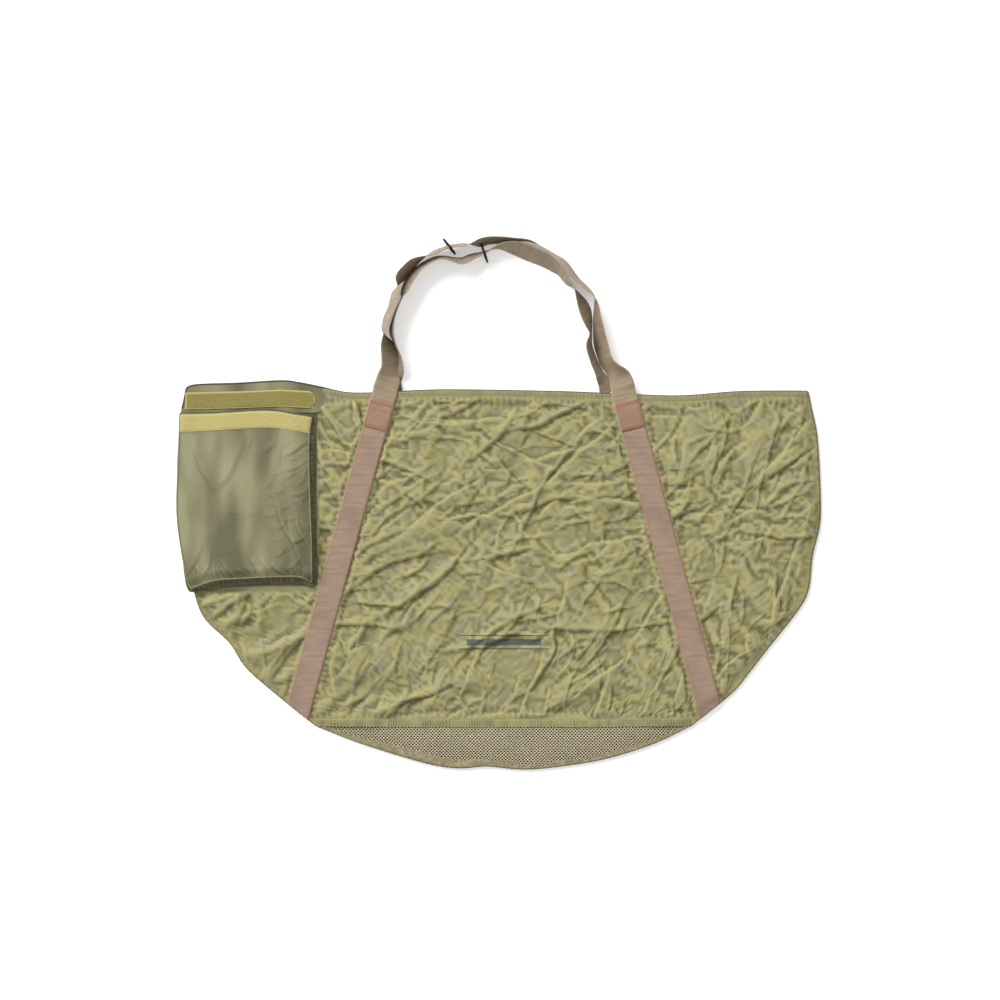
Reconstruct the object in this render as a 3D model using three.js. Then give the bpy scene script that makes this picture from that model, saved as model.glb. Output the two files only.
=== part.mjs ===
// A weigh sling for large fish, laid flat with its back on the ground.
//
// A D-shaped bag of coated nylon, open along its straight top edge (the mouth, towards +Y), with drain
// mesh along its curved base. Webbing runs down both faces and carries on past the mouth as two twisted
// hand loops, each with a metal ring for a weighing hook. A storage pouch with a hook-and-loop flap is
// sewn near the left end of the front face. Millimetres, +Z up, origin under the middle of the whole.
import * as THREE from "three";

// ---- driving dimensions ----

const HALF_WIDTH = 531; // widest place, level with the origin
const MOUTH_HALF_WIDTH = 512;
const MOUTH_Y = 186;
const BASE_DROP = 438.5;
const ROUNDNESS = 2.07; // exponent of the superellipse below the widest place
const SEAM_Y = -366; // where the solid cloth ends and the drain mesh begins
const GAP = 0.3; // between pieces sewn face to face

const CLOTH = 1.8; // a lined, coated panel with its folds pressed flat
const WEBBING = 1.6;
const WEBBING_WIDTH = 40;
const THREAD = 0.6;
const SIDE_WALL = 9; // depth of the bag's side and base, between its two faces
const WALL_THICKNESS = 5;
const HEM_WIDTH = 12;
const HEM_SPARE = 0.3; // a hem stands proud of its panel by this much on each side
const SEAM_TAPE_WIDTH = 16;
const SEAM_TAPE_HALF_LENGTH = { front: 292, back: 272 };

// each body strap's middle at the mouth
const STRAP_X = {
  front: { left: -188, right: 205 },
  back: { left: -151, right: 164 },
};
const STRAP_SLOPE = 0.272; // how far a strap moves outwards for each millimetre down
const LAP_END_Y = 124; // where the sewn-down end of a hand loop stops
const STITCH_BOX = { high: 170, low: 130, inset: 3, line: 2.4 };

const POUCH = { left: -518, right: -303, top: 150, bottom: -142, wall: 1.4 };
const POUCH_MOUTH_HEIGHT = 9; // inside, between the pouch's back and front
const POUCH_DEPTH = 27; // inside, at the pouch's bottom
const PIPING_DIAMETER = 4;
const TAPE_WIDTH = 30; // hook tape and loop tape
const TAPE_THICKNESS = 1.5;
const FLAP_END_Y = 199;
const FLAP_BINDING_WIDTH = 7;

const RING_OUTER_RADIUS = 17;
const RING_WIRE_RADIUS = 1.7;
const RING_LIFT = 2 * RING_WIRE_RADIUS + 1.6; // the webbing lies on the inside of its ring
const GATHER_REACH = 26; // how far from a ring its webbing starts to bunch up
const LIFT_REACH = 46; // how far past the mouth the front loop takes to come down to the ground
const GROUND_CLEARANCE = 0.6;

// ---- heights of the layers ----

const BACK_PANEL_Z = WEBBING + GAP;
const WALL_Z = BACK_PANEL_Z + CLOTH + HEM_SPARE + GAP;
const FRONT_PANEL_Z = WALL_Z + SIDE_WALL + HEM_SPARE + GAP;
const ON_FRONT_Z = FRONT_PANEL_Z + CLOTH + HEM_SPARE + GAP;
const LAP_Z = ON_FRONT_Z + WEBBING + GAP;

// ---- the two hand loops, as [x, y, roll, width] from the left end over the arch to the right end ----
// Roll 0 lies flat, 90 stands on edge and 180 lies flat the other way up.

const FRONT_LOOP = [
  [-188, 188, 0, 40],
  [-184, 204, 0, 40],
  [-182, 223, 40, 40],
  [-184, 244, 62, 40],
  [-188, 266, 70, 40],
  [-191, 285, 72, 40],
  [-187, 304, 73, 40],
  [-179, 328, 68, 40],
  [-172, 352, 76, 40],
  [-165, 371, 92, 40],
  [-156, 385, 110, 40],
  [-143, 398, 106, 40],
  [-128, 409, 102, 40],
  [-112, 417, 99, 40],
  [-96, 422, 99, 40],
  [-66, 428, 101, 40],
  [-26, 433, 101, 40],
  [8, 435, 100, 40],
  [40, 435, 100, 40],
  [61, 432, 100, 40],
  [81, 424, 103, 40],
  [96, 413, 111, 40],
  [111, 398, 114, 40],
  [127, 379, 112, 40],
  [143, 361, 106, 40],
  [156, 344, 92, 40],
  [162, 327, 82, 40],
  [166, 304, 75, 40],
  [169, 277, 68, 40],
  [173, 254, 62, 40],
  [180, 237, 58, 40],
  [189, 221, 50, 40],
  [198, 204, 8, 40],
  [205, 188, 0, 40],
];
const BACK_LOOP = [
  [-151, 188, 0, 20],
  [-151, 207, 8, 20],
  [-157, 224, 76, 30],
  [-166, 246, 84, 38],
  [-173, 266, 83, 40],
  [-174, 284, 82, 40],
  [-171, 304, 83, 40],
  [-167, 322, 83, 40],
  [-161, 340, 76, 40],
  [-151, 358, 66, 40],
  [-137, 375, 60, 40],
  [-124, 388, 60, 40],
  [-109, 399, 64, 40],
  [-96, 406, 78, 40],
  [-81, 404, 74, 40],
  [-64, 402, 66, 40],
  [-48, 407, 62, 40],
  [-33, 412, 68, 40],
  [-20, 417, 78, 40],
  [-3, 420, 88, 40],
  [15, 419, 106, 40],
  [40, 415, 116, 40],
  [63, 408, 118, 40],
  [82, 398, 112, 40],
  [97, 384, 108, 40],
  [109, 369, 108, 40],
  [120, 355, 100, 40],
  [129, 341, 86, 40],
  [136, 324, 66, 40],
  [143, 304, 68, 40],
  [148, 284, 86, 40],
  [149, 262, 106, 38],
  [151, 241, 118, 33],
  [158, 220, 136, 27],
  [162, 206, 172, 20],
  [164, 188, 180, 20],
];
const LOOP_STEPS = 72;

const RINGS = {
  front: { x: -82, y: 424.6, yaw: 38 },
  back: { x: -24, y: 413.2, yaw: 19 },
};

// ---- colours ----

const nylon = { color: 0x96915f, roughness: 0.55, metalness: 0 };
const mesh = { color: 0x8f8468, roughness: 0.8, metalness: 0 };
const pouchNylon = { color: 0x6f6c50, roughness: 0.4, metalness: 0 };
const hookTape = { color: 0x8f8447, roughness: 0.9, metalness: 0 };
const loopTape = { color: 0xc2b56a, roughness: 0.95, metalness: 0 };
const loopWebbing = { color: 0x9b8871, roughness: 0.85, metalness: 0 };
const bodyWebbing = { color: 0x9b8472, roughness: 0.85, metalness: 0 };
const binding = { color: 0x4c4a38, roughness: 0.8, metalness: 0 };
const thread = { color: 0xc0685a, roughness: 0.8, metalness: 0 };
const blackMetal = { color: 0x1b1b1d, roughness: 0.35, metalness: 0.9 };

// ---- making solids ----

const sling = new THREE.Group();

function addPiece(name, geometry, look, parent = sling) {
  const piece = new THREE.Mesh(geometry, new THREE.MeshStandardMaterial(look));
  piece.name = name;
  parent.add(piece);
  return piece;
}

// A flat outline of [x, y] points, with any holes, thickened upwards from z.
function slab(points, z, thickness, holes = []) {
  const shape = new THREE.Shape(points.map(([x, y]) => new THREE.Vector2(x, y)));
  for (const hole of holes) shape.holes.push(new THREE.Path(hole.map(([x, y]) => new THREE.Vector2(x, y))));
  const geometry = new THREE.ExtrudeGeometry(shape, { depth: thickness, bevelEnabled: false });
  return geometry.translate(0, 0, z);
}

function rectangle(left, right, bottom, top) {
  return [
    [left, bottom],
    [right, bottom],
    [right, top],
    [left, top],
  ];
}

// A side view, as [y, z] points, thickened along x from left to right.
function sideSlab(points, left, right) {
  const shape = new THREE.Shape(points.map(([y, z]) => new THREE.Vector2(y, z)));
  const geometry = new THREE.ExtrudeGeometry(shape, { depth: right - left, bevelEnabled: false });
  // The extrusion's own x, y and z become y, z and x.
  geometry.applyMatrix4(new THREE.Matrix4().makeBasis(
    new THREE.Vector3(0, 1, 0),
    new THREE.Vector3(0, 0, 1),
    new THREE.Vector3(1, 0, 0),
  ));
  return geometry.translate(left, 0, 0);
}

// Joins rings of equally many points into one closed skin with flat ends.
function loft(rings) {
  const sides = rings[0].length;
  const position = rings.flat().flatMap((p) => [p.x, p.y, p.z]);
  const index = [];
  for (let ring = 0; ring + 1 < rings.length; ring++) {
    for (let side = 0; side < sides; side++) {
      const a = ring * sides + side;
      const b = ring * sides + ((side + 1) % sides);
      index.push(a, a + sides, b, b, a + sides, b + sides);
    }
  }
  const last = (rings.length - 1) * sides;
  for (let side = 1; side + 1 < sides; side++) {
    index.push(0, side, side + 1);
    index.push(last, last + side + 1, last + side);
  }
  const geometry = new THREE.BufferGeometry();
  geometry.setAttribute("position", new THREE.Float32BufferAttribute(position, 3));
  geometry.setIndex(index);
  geometry.computeVertexNormals();
  return geometry;
}

// ---- the sling's outline ----

// Half the sling's width at a height y: it narrows a little towards the mouth, and is rounded below.
function halfWidthAt(y, inset = 0) {
  const wide = HALF_WIDTH - inset;
  if (y >= 0) return wide - (HALF_WIDTH - MOUTH_HALF_WIDTH) * (y / MOUTH_Y) ** 2;
  const down = Math.min(1, -y / (BASE_DROP - inset));
  return wide * (1 - down ** ROUNDNESS) ** (1 / ROUNDNESS);
}

// The right-hand edge between two heights. The points bunch up towards the bottom, where it curves most.
function rightEdge(high, low, inset, steps) {
  const points = [];
  for (let step = 0; step <= steps; step++) {
    const y = high + (low - high) * Math.sin((Math.PI / 2) * (step / steps));
    points.push([halfWidthAt(y, inset), y]);
  }
  return points;
}

function mirrored(points) {
  return points.map(([x, y]) => [-x, y]).reverse();
}

// The part of the sling's outline between two heights.
function region(high, low, inset, steps) {
  const right = rightEdge(high, low, inset, steps);
  if (right[steps][0] < 1e-6) return [...mirrored(right), ...right.slice(0, -1)].reverse();
  return [...right, ...mirrored(right)].reverse();
}

// The strip between the outline and the same outline set in by the wall's thickness.
function wallStrip(high, low, side, steps) {
  const outer = rightEdge(high, low, 0.5, steps);
  const inner = rightEdge(high, low, WALL_THICKNESS, steps).reverse();
  const strip = [...outer, ...inner];
  return strip.map(([x, y]) => [side * x, y]);
}

function addPanels() {
  const cloth = region(MOUTH_Y - HEM_WIDTH - GAP, SEAM_Y + GAP, 0, 24);
  const hem = region(MOUTH_Y, MOUTH_Y - HEM_WIDTH, 0, 1);
  const drain = region(SEAM_Y, -BASE_DROP, 0, 24);
  const faces = [
    { side: "back", z: BACK_PANEL_Z, tapeZ: BACK_PANEL_Z - GAP - THREAD },
    { side: "front", z: FRONT_PANEL_Z, tapeZ: ON_FRONT_Z },
  ];
  for (const { side, z, tapeZ } of faces) {
    const reach = SEAM_TAPE_HALF_LENGTH[side];
    const tape = rectangle(-reach, reach, SEAM_Y + 1, SEAM_Y + 1 + SEAM_TAPE_WIDTH);
    addPiece(`${side}_panel`, slab(cloth, z, CLOTH), nylon);
    addPiece(`mouth_hem_${side}`, slab(hem, z - HEM_SPARE, CLOTH + 2 * HEM_SPARE), nylon);
    addPiece(`drain_mesh_${side}`, slab(drain, z, CLOTH), mesh);
    addPiece(`seam_tape_${side}`, slab(tape, tapeZ, THREAD), nylon);
  }
}

function addWalls() {
  for (const [name, side] of [["left", -1], ["right", 1]]) {
    const strip = wallStrip(MOUTH_Y, SEAM_Y + GAP, side, 20);
    addPiece(`side_wall_${name}`, slab(strip, WALL_Z, SIDE_WALL), binding);
  }
  const outer = rightEdge(SEAM_Y, -BASE_DROP + 0.5, 0.5, 14);
  const inner = rightEdge(SEAM_Y, -BASE_DROP + WALL_THICKNESS, WALL_THICKNESS, 14);
  const outside = [...outer.slice(0, -1), ...mirrored(outer)];
  const inside = [...inner.slice(0, -1), ...mirrored(inner)];
  const strip = [...outside, ...inside.reverse()];
  addPiece("base_wall", slab(strip, WALL_Z, SIDE_WALL), binding);
}

// ---- webbing on the two faces ----

function strapMiddle(face, side, y) {
  const outwards = side === "left" ? -1 : 1;
  return STRAP_X[face][side] + outwards * STRAP_SLOPE * (MOUTH_Y - y);
}

// The height at which one edge of a strap, offset from its middle, meets the sling's outline.
function meetsOutline(face, side, offset) {
  let high = 0;
  let low = -BASE_DROP;
  for (let turn = 0; turn < 40; turn++) {
    const y = (high + low) / 2;
    if (Math.abs(strapMiddle(face, side, y) + offset) < halfWidthAt(y, 2)) high = y;
    else low = y;
  }
  return high;
}

// A strap's outline from one height down to another, or down to the sling's edge.
function strapOutline(face, side, high, low) {
  const half = (WEBBING_WIDTH / 2) * Math.hypot(1, STRAP_SLOPE);
  const ends = [-half, half].map((offset) => low ?? meetsOutline(face, side, offset));
  const middle = (y) => strapMiddle(face, side, y);
  return [
    [middle(high) + half, high],
    [middle(high) - half, high],
    [middle(ends[0]) - half, ends[0]],
    [middle(ends[1]) + half, ends[1]],
  ];
}

// A frame of thread with a cross in it, as one piece.
function stitchBox(face, side) {
  const { high, low, inset, line } = STITCH_BOX;
  const half = WEBBING_WIDTH / 2 - inset;
  const at = (across, along) => {
    const y = low + along * (high - low);
    return [strapMiddle(face, side, y) + across * half, y];
  };
  const outline = [at(1, 1), at(-1, 1), at(-1, 0), at(1, 0)];
  const middle = [(outline[0][0] + outline[2][0]) / 2, (high + low) / 2];
  // Each triangle between the cross and a side, drawn in from its corners by the thread's width.
  const holes = outline.map((corner, n) => {
    const triangle = [corner, outline[(n + 1) % 4], middle];
    const centre = [0, 1].map((axis) => triangle.reduce((sum, point) => sum + point[axis], 0) / 3);
    const shrink = 1 - line / 7;
    const drawIn = (value, axis) => centre[axis] + (value - centre[axis]) * shrink;
    return triangle.map((point) => point.map(drawIn));
  });
  return { outline, holes };
}

function addWebbing() {
  const faces = [
    { face: "back", strapTop: LAP_END_Y - GAP, strapZ: 0, lapZ: 0, stitchZ: BACK_PANEL_Z + CLOTH + GAP },
    { face: "front", strapTop: MOUTH_Y, strapZ: ON_FRONT_Z, lapZ: LAP_Z, stitchZ: LAP_Z + WEBBING + GAP },
  ];
  for (const { face, strapTop, strapZ, lapZ, stitchZ } of faces) {
    for (const side of ["left", "right"]) {
      const strap = strapOutline(face, side, strapTop, null);
      const lap = strapOutline(face, side, MOUTH_Y, LAP_END_Y);
      const { outline, holes } = stitchBox(face, side);
      addPiece(`body_strap_${face}_${side}`, slab(strap, strapZ, WEBBING), bodyWebbing);
      addPiece(`loop_end_${face}_${side}`, slab(lap, lapZ, WEBBING), loopWebbing);
      addPiece(`box_stitch_${face}_${side}`, slab(outline, stitchZ, THREAD, holes), thread);
    }
  }
}

// ---- the hand loops and their rings ----

function smoothstep(value) {
  const t = Math.min(1, Math.max(0, value));
  return t * t * (3 - 2 * t);
}

// Webbing that twists along its stations and rests its lower edge on the ground. Near its ring it is
// bunched to half its width and twice its thickness; startLift is how high its two ends are held.
function twistedLoop(stations, ring, startLift) {
  const path = new THREE.CatmullRomCurve3(stations.map(([x, y]) => new THREE.Vector3(x, y, 0)));
  const turns = stations.map(([, , roll, width]) => new THREE.Vector3(roll, width, 0));
  const turn = new THREE.CatmullRomCurve3(turns);
  path.curveType = "catmullrom";
  turn.curveType = "catmullrom";
  const rings = [];
  for (let step = 0; step <= LOOP_STEPS; step++) {
    const at = step / LOOP_STEPS;
    const place = path.getPoint(at);
    const tangent = path.getTangent(at);
    if (step === 0 || step === LOOP_STEPS) tangent.set(0, step === 0 ? 1 : -1, 0);
    const { x: roll, y: plainWidth } = turn.getPoint(at);
    const nearRing = Math.exp(-(((place.x - ring.x) ** 2 + (place.y - ring.y) ** 2) / GATHER_REACH ** 2));
    const half = (plainWidth * (1 - 0.45 * nearRing)) / 2;
    const halfThickness = (WEBBING * (1 + nearRing)) / 2;
    const angle = THREE.MathUtils.degToRad(roll);
    const outwards = new THREE.Vector3(-tangent.y, tangent.x, 0);
    const across = outwards.clone().multiplyScalar(Math.cos(angle)).setZ(Math.sin(angle));
    const facing = outwards.clone().multiplyScalar(-Math.sin(angle)).setZ(Math.cos(angle));
    const standing = half * Math.sin(angle) + halfThickness * Math.abs(Math.cos(angle)) + GROUND_CLEARANCE;
    const fromSling = (startLift - GROUND_CLEARANCE) * (1 - smoothstep((place.y - MOUTH_Y) / LIFT_REACH));
    place.z = standing + fromSling + nearRing * RING_LIFT;
    rings.push([[1, -1], [-1, -1], [-1, 1], [1, 1]].map(([a, f]) =>
      place.clone().addScaledVector(across, a * half).addScaledVector(facing, f * halfThickness)));
  }
  return loft(rings);
}

function addLoops() {
  addPiece("hand_loop_front", twistedLoop(FRONT_LOOP, RINGS.front, LAP_Z), loopWebbing);
  addPiece("hand_loop_back", twistedLoop(BACK_LOOP, RINGS.back, 0), loopWebbing);
  for (const [side, { x, y, yaw }] of Object.entries(RINGS)) {
    const wire = new THREE.TorusGeometry(RING_OUTER_RADIUS - RING_WIRE_RADIUS, RING_WIRE_RADIUS, 8, 28);
    const ring = addPiece(`weigh_ring_${side}`, wire, blackMetal);
    ring.position.set(x, y, RING_OUTER_RADIUS + GROUND_CLEARANCE);
    ring.rotation.set(Math.PI / 2, 0, 0);
    ring.rotateY(THREE.MathUtils.degToRad(90 + yaw));
  }
}

// ---- the storage pouch ----

const POUCH_BACK_Z = ON_FRONT_Z;
const POUCH_INSIDE_Z = POUCH_BACK_Z + POUCH.wall;
const POUCH_LENGTH = POUCH.top - POUCH.bottom;

// The underside of the pouch's front panel, which slopes from its shallow mouth to its deep bottom.
function pouchFrontZ(y) {
  const down = (POUCH.top - y) / POUCH_LENGTH;
  return POUCH_INSIDE_Z + POUCH_MOUTH_HEIGHT + down * (POUCH_DEPTH - POUCH_MOUTH_HEIGHT);
}

// A strip that lies on the pouch's front panel between two heights, lifted off its underside.
function onPouchFront(high, low, lift, thickness) {
  return [
    [low, pouchFrontZ(low) + lift],
    [high, pouchFrontZ(high) + lift],
    [high, pouchFrontZ(high) + lift + thickness],
    [low, pouchFrontZ(low) + lift + thickness],
  ];
}

function gussetSide(low, high) {
  const foot = POUCH_INSIDE_Z + GAP;
  return [
    [low, foot],
    [high, foot],
    [high, pouchFrontZ(high) - GAP],
    [low, pouchFrontZ(low) - GAP],
  ];
}

// Piping round the pouch's front panel: down its left edge, along its bottom and up its right edge.
function pipingPath() {
  const corner = 2;
  const out = PIPING_DIAMETER / 2 + 2 * GAP;
  const left = POUCH.left - out;
  const right = POUCH.right + out;
  const bottom = POUCH.bottom - out;
  const corners = [
    [left, POUCH.top],
    [left, bottom + corner],
    [left + corner, bottom],
    [right - corner, bottom],
    [right, bottom + corner],
    [right, POUCH.top],
  ];
  const at = corners.map(([x, y]) => new THREE.Vector3(x, y, pouchFrontZ(y) + POUCH.wall / 2));
  const path = new THREE.CurvePath();
  path.add(new THREE.LineCurve3(at[0], at[1]));
  const bend = (n) => {
    const elbow = new THREE.Vector3(n === 1 ? left : right, bottom, pouchFrontZ(bottom) + POUCH.wall / 2);
    return new THREE.QuadraticBezierCurve3(at[n], elbow, at[n + 1]);
  };
  path.add(bend(1));
  path.add(new THREE.LineCurve3(at[2], at[3]));
  path.add(bend(3));
  path.add(new THREE.LineCurve3(at[4], at[5]));
  return path;
}

function piping() {
  const path = pipingPath();
  const points = path.curves.flatMap((curve) => curve.getPoints(curve.isLineCurve3 ? 1 : 5).slice(1));
  points.unshift(path.getPoint(0));
  const rings = points.map((point, n) => {
    const before = points[Math.max(0, n - 1)];
    const after = points[Math.min(points.length - 1, n + 1)];
    const along = after.clone().sub(before).normalize();
    const side = new THREE.Vector3(-along.y, along.x, 0).normalize();
    const up = side.clone().cross(along).normalize();
    return Array.from({ length: 8 }, (_, k) => {
      const angle = (k / 8) * 2 * Math.PI;
      return point.clone()
        .addScaledVector(side, (Math.cos(angle) * PIPING_DIAMETER) / 2)
        .addScaledVector(up, (Math.sin(angle) * PIPING_DIAMETER) / 2);
    });
  });
  return loft(rings);
}

function addPouch() {
  const { left, right, top, bottom, wall } = POUCH;
  const cover = onPouchFront(top, bottom, 0, wall);
  const loopTapeStrip = onPouchFront(top - 2, top - 2 - TAPE_WIDTH, wall + GAP, TAPE_THICKNESS);
  addPiece("pouch_back", slab(rectangle(left, right, bottom, top), POUCH_BACK_Z, wall), pouchNylon);
  const side = gussetSide(bottom + wall + GAP, top - 2);
  addPiece("pouch_gusset_left", sideSlab(side, left, left + wall), pouchNylon);
  addPiece("pouch_gusset_right", sideSlab(side, right - wall, right), pouchNylon);
  addPiece("pouch_gusset_bottom", sideSlab(gussetSide(bottom, bottom + wall), left, right), pouchNylon);
  addPiece("pouch_front", sideSlab(cover, left, right), pouchNylon);
  addPiece("loop_strip", sideSlab(loopTapeStrip, left + 4, right - 4), loopTape);
  addPiece("pouch_piping", piping(), binding);
}

function addFlap() {
  const { left, right, top, wall } = POUCH;
  const flapLow = top + 1;
  const flapZ = POUCH_INSIDE_Z + GAP;
  const hookLow = flapLow + 3;
  const bindingLow = FLAP_END_Y - FLAP_BINDING_WIDTH;
  const stripZ = flapZ + wall + GAP;
  addPiece("pouch_flap", slab(rectangle(left, right, flapLow, FLAP_END_Y), flapZ, wall), pouchNylon);
  const hook = rectangle(left + 4, right - 4, hookLow, hookLow + TAPE_WIDTH);
  addPiece("hook_strip", slab(hook, stripZ, TAPE_THICKNESS), hookTape);
  addPiece("flap_binding", slab(rectangle(left, right, bindingLow, FLAP_END_Y), stripZ, THREAD), binding);
}

addPanels();
addWalls();
addWebbing();
addLoops();
addPouch();
addFlap();

export default sling;
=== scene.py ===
import math

import bpy
import numpy as np
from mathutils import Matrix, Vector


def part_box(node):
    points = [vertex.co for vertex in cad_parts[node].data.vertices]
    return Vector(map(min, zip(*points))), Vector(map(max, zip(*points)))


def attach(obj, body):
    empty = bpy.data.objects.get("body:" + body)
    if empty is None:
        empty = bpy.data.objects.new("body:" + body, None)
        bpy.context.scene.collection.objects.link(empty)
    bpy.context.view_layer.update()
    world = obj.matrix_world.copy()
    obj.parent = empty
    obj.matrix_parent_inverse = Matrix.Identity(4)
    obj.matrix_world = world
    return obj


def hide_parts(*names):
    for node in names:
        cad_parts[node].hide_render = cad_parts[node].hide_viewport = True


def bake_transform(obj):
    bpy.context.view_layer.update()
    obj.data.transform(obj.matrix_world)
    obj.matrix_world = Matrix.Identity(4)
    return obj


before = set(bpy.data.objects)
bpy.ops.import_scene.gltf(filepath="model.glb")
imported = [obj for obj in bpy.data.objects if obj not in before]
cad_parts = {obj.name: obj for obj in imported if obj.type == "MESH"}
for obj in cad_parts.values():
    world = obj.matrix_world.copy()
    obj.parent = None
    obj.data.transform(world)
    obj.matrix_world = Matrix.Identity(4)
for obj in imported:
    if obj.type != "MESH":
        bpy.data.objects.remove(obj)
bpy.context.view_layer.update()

MM = 0.001


def box_mm(node):
    low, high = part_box(node)
    return np.array(low) / MM, np.array(high) / MM


def middle_z(node):
    low, high = box_mm(node)
    return (low[2] + high[2]) / 2


# ---- heights and places, from the frame ----

FRONT_Z = middle_z("front_panel")
BACK_Z = middle_z("back_panel")
STRAP_Z = {face: middle_z(f"body_strap_{face}_left") for face in ("front", "back")}
LAP_Z = {face: middle_z(f"loop_end_{face}_left") for face in ("front", "back")}
MOUTH_Y = box_mm("mouth_hem_front")[1][1]
SEAM_Y = box_mm("drain_mesh_front")[1][1]
LAP_END_Y = box_mm("loop_end_front_left")[0][1]
POUCH_LOW, POUCH_HIGH = box_mm("pouch_back")
FLAP_Z = box_mm("pouch_flap")[1][2]

WEBBING_WIDTH = 40
WEBBING_THICKNESS = 1.4
CLOTH_THICKNESS = 0.6
HEM_WIDTH = 12
HEM_CREST = 0.6  # how far a hem stands above its panel
SEAM_BAND = 13
STRAP_SLOPE = 0.272
STRAP_NORM = math.hypot(1, STRAP_SLOPE)
STRAP_X = {"front": (-188, 205), "back": (-151, 164)}
EDGE_Z = {"front": 8.6, "back": 3.6}  # heights of the two faces' edges, which are sewn to the gusset
EDGE_DIP = 26  # how far in from its edge a face starts to come down
NET_PITCH = 5.6
NET_STRAND = {"front": 1.8, "back": 2.9}  # how thick the strands are

# The sling's outline: its two sides, from the mouth down to the seam, and its base, from left to right.
LEFT_SIDE = [(-516, 186), (-525, 150), (-526, 68), (-531, -3), (-530, -33), (-520, -82), (-506, -135),
             (-488, -186), (-445, -229), (-416, -272), (-351, -328), (-303, -366)]
RIGHT_SIDE = [(511, 186), (516, 160), (526, 109), (531, 16), (530, -34), (518, -86), (512, -139),
              (495, -174), (444, -239), (415, -276), (384, -313), (318, -366)]
BASE = [(-303, -366), (-231, -394), (-142, -422), (-96, -433), (-60, -436), (-20, -433), (40, -438),
        (102, -433), (178, -420), (254, -396), (318, -366)]
MOUTH_RISE = [(-516, 4), (-328, 9), (-246, -3), (-170, -1), (-81, 2), (100, -1), (200, -5), (299, -8),
              (398, -1), (511, 0)]

# The two hand loops, from the left end over the arch to the right end: x, y, how far the webbing is rolled
# onto its edge in degrees and, on the back face, how wide it is where it is bunched.
FRONT_LOOP = [
    (-188, 188, 0), (-183, 204, 12), (-179, 223, 40), (-180, 244, 48), (-184, 264, 60), (-190, 285, 98),
    (-186, 304, 109), (-178, 322, 110), (-173, 340, 111), (-169, 353, 106), (-164, 371, 73), (-151, 388, 72),
    (-137, 400, 78), (-110, 413.5, 104), (-92, 421, 106), (-80, 425, 106), (-57, 427.5, 104), (-33, 430, 77),
    (-17, 434, 77), (6, 435, 80), (26, 435, 86), (41, 435, 90), (56, 432, 93), (73, 422, 98), (90, 410, 104),
    (107, 397, 110), (128, 371, 106), (146, 354, 104), (156, 343, 97), (160, 330, 84), (161, 317, 77),
    (162, 304, 72), (164, 290, 66), (166, 275, 61), (169, 260, 57), (177, 235, 59), (189, 220, 52),
    (200, 205, 18), (205, 188, 0),
]
BACK_LOOP = [
    (-170, 188, 180, 20), (-170, 206, 176, 18), (-163, 224, 118, 26), (-164, 244, 98, 36),
    (-171, 264, 95, 40), (-177, 285, 103, 40), (-174, 304, 100, 40), (-168, 322, 98, 40),
    (-160, 340, 98, 40), (-156, 351, 110, 40), (-147, 370, 113, 40), (-129, 391, 109, 40),
    (-106, 404, 106, 40), (-90, 406, 104, 40), (-75, 403, 106, 40), (-60, 401, 113, 40),
    (-44, 408, 114, 40), (-26, 414, 105, 40), (-2, 424, 84, 40), (20, 423, 66, 40),
    (39, 418, 56, 40), (54, 412, 55, 40), (74, 403, 59, 40), (91, 392, 66, 40),
    (102, 383, 73, 40), (114, 367, 77, 40), (123, 358, 90, 40), (132, 342, 108, 40),
    (138, 330, 119, 40), (142, 319, 122, 40), (145, 307, 118, 40), (148, 294, 109, 40),
    (151, 279, 98, 40), (149, 260, 108, 38), (157, 235, 115, 32), (166, 216, 128, 25),
    (173, 202, 170, 20), (176, 188, 180, 20),
]
LOOP_STATIONS = {"front": [(*station, WEBBING_WIDTH) for station in FRONT_LOOP], "back": BACK_LOOP}
RING_YAW = {"front": 38, "back": 19}
RING_WIRE_RADIUS = 1.7
RING_LIFT = 2 * RING_WIRE_RADIUS + 1.6  # the webbing lies on the inside of its ring
GATHER_REACH = 26  # how far from its ring the webbing starts to bunch up
LIFT_REACH = 46  # how far above the mouth a hand loop has come down from the sling to the ground
GROUND_CLEARANCE = 0.6


# ---- numbers: smooth steps, curves and noise ----

def smoothstep(value):
    t = np.clip(value, 0, 1)
    return t * t * (3 - 2 * t)


def catmull_rom(points, count):
    """The points of a smooth curve through some points, the same number of steps between each two."""
    p = np.array(points, float)
    p = np.vstack([2 * p[0] - p[1], p, 2 * p[-1] - p[-2]])
    at = np.linspace(0, len(p) - 3 - 1e-9, count)
    i = at.astype(int)
    t = (at - i)[:, None]
    a, b, c, d = p[i], p[i + 1], p[i + 2], p[i + 3]
    square, cube = 2 * a - 5 * b + 4 * c - d, 3 * b - a - 3 * c + d
    return 0.5 * (2 * b + (c - a) * t + square * t ** 2 + cube * t ** 3)


def along(points):
    """How far along a line each of its points is."""
    steps = np.linalg.norm(np.diff(points, axis=0), axis=1)
    return np.concatenate([[0], np.cumsum(steps)])


def evenly(points, spacing):
    """The points of a line again, about a spacing apart."""
    length = along(points)
    count = max(2, int(round(length[-1] / spacing)) + 1)
    at = np.linspace(0, length[-1], count)
    return np.stack([np.interp(at, length, points[:, k]) for k in range(points.shape[1])], axis=1)


def unit(vectors):
    """The same directions, each 1 long."""
    return vectors / np.maximum(np.linalg.norm(vectors, axis=-1, keepdims=True), 1e-9)


def shares(rows, columns):
    """How far down and how far right each point of a grid is, both from 0 to 1."""
    return np.meshgrid(np.linspace(0, 1, rows), np.linspace(0, 1, columns), indexing="ij")


def stacked(*values):
    """Points from their coordinates, which may be grids, single rows or columns, or numbers."""
    return np.stack(np.broadcast_arrays(*values), -1)


TABLE = 64  # noise repeats after this many of its bumps


def table_of(seed):
    return np.random.default_rng(seed).uniform(-1, 1, (TABLE, TABLE))


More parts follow.
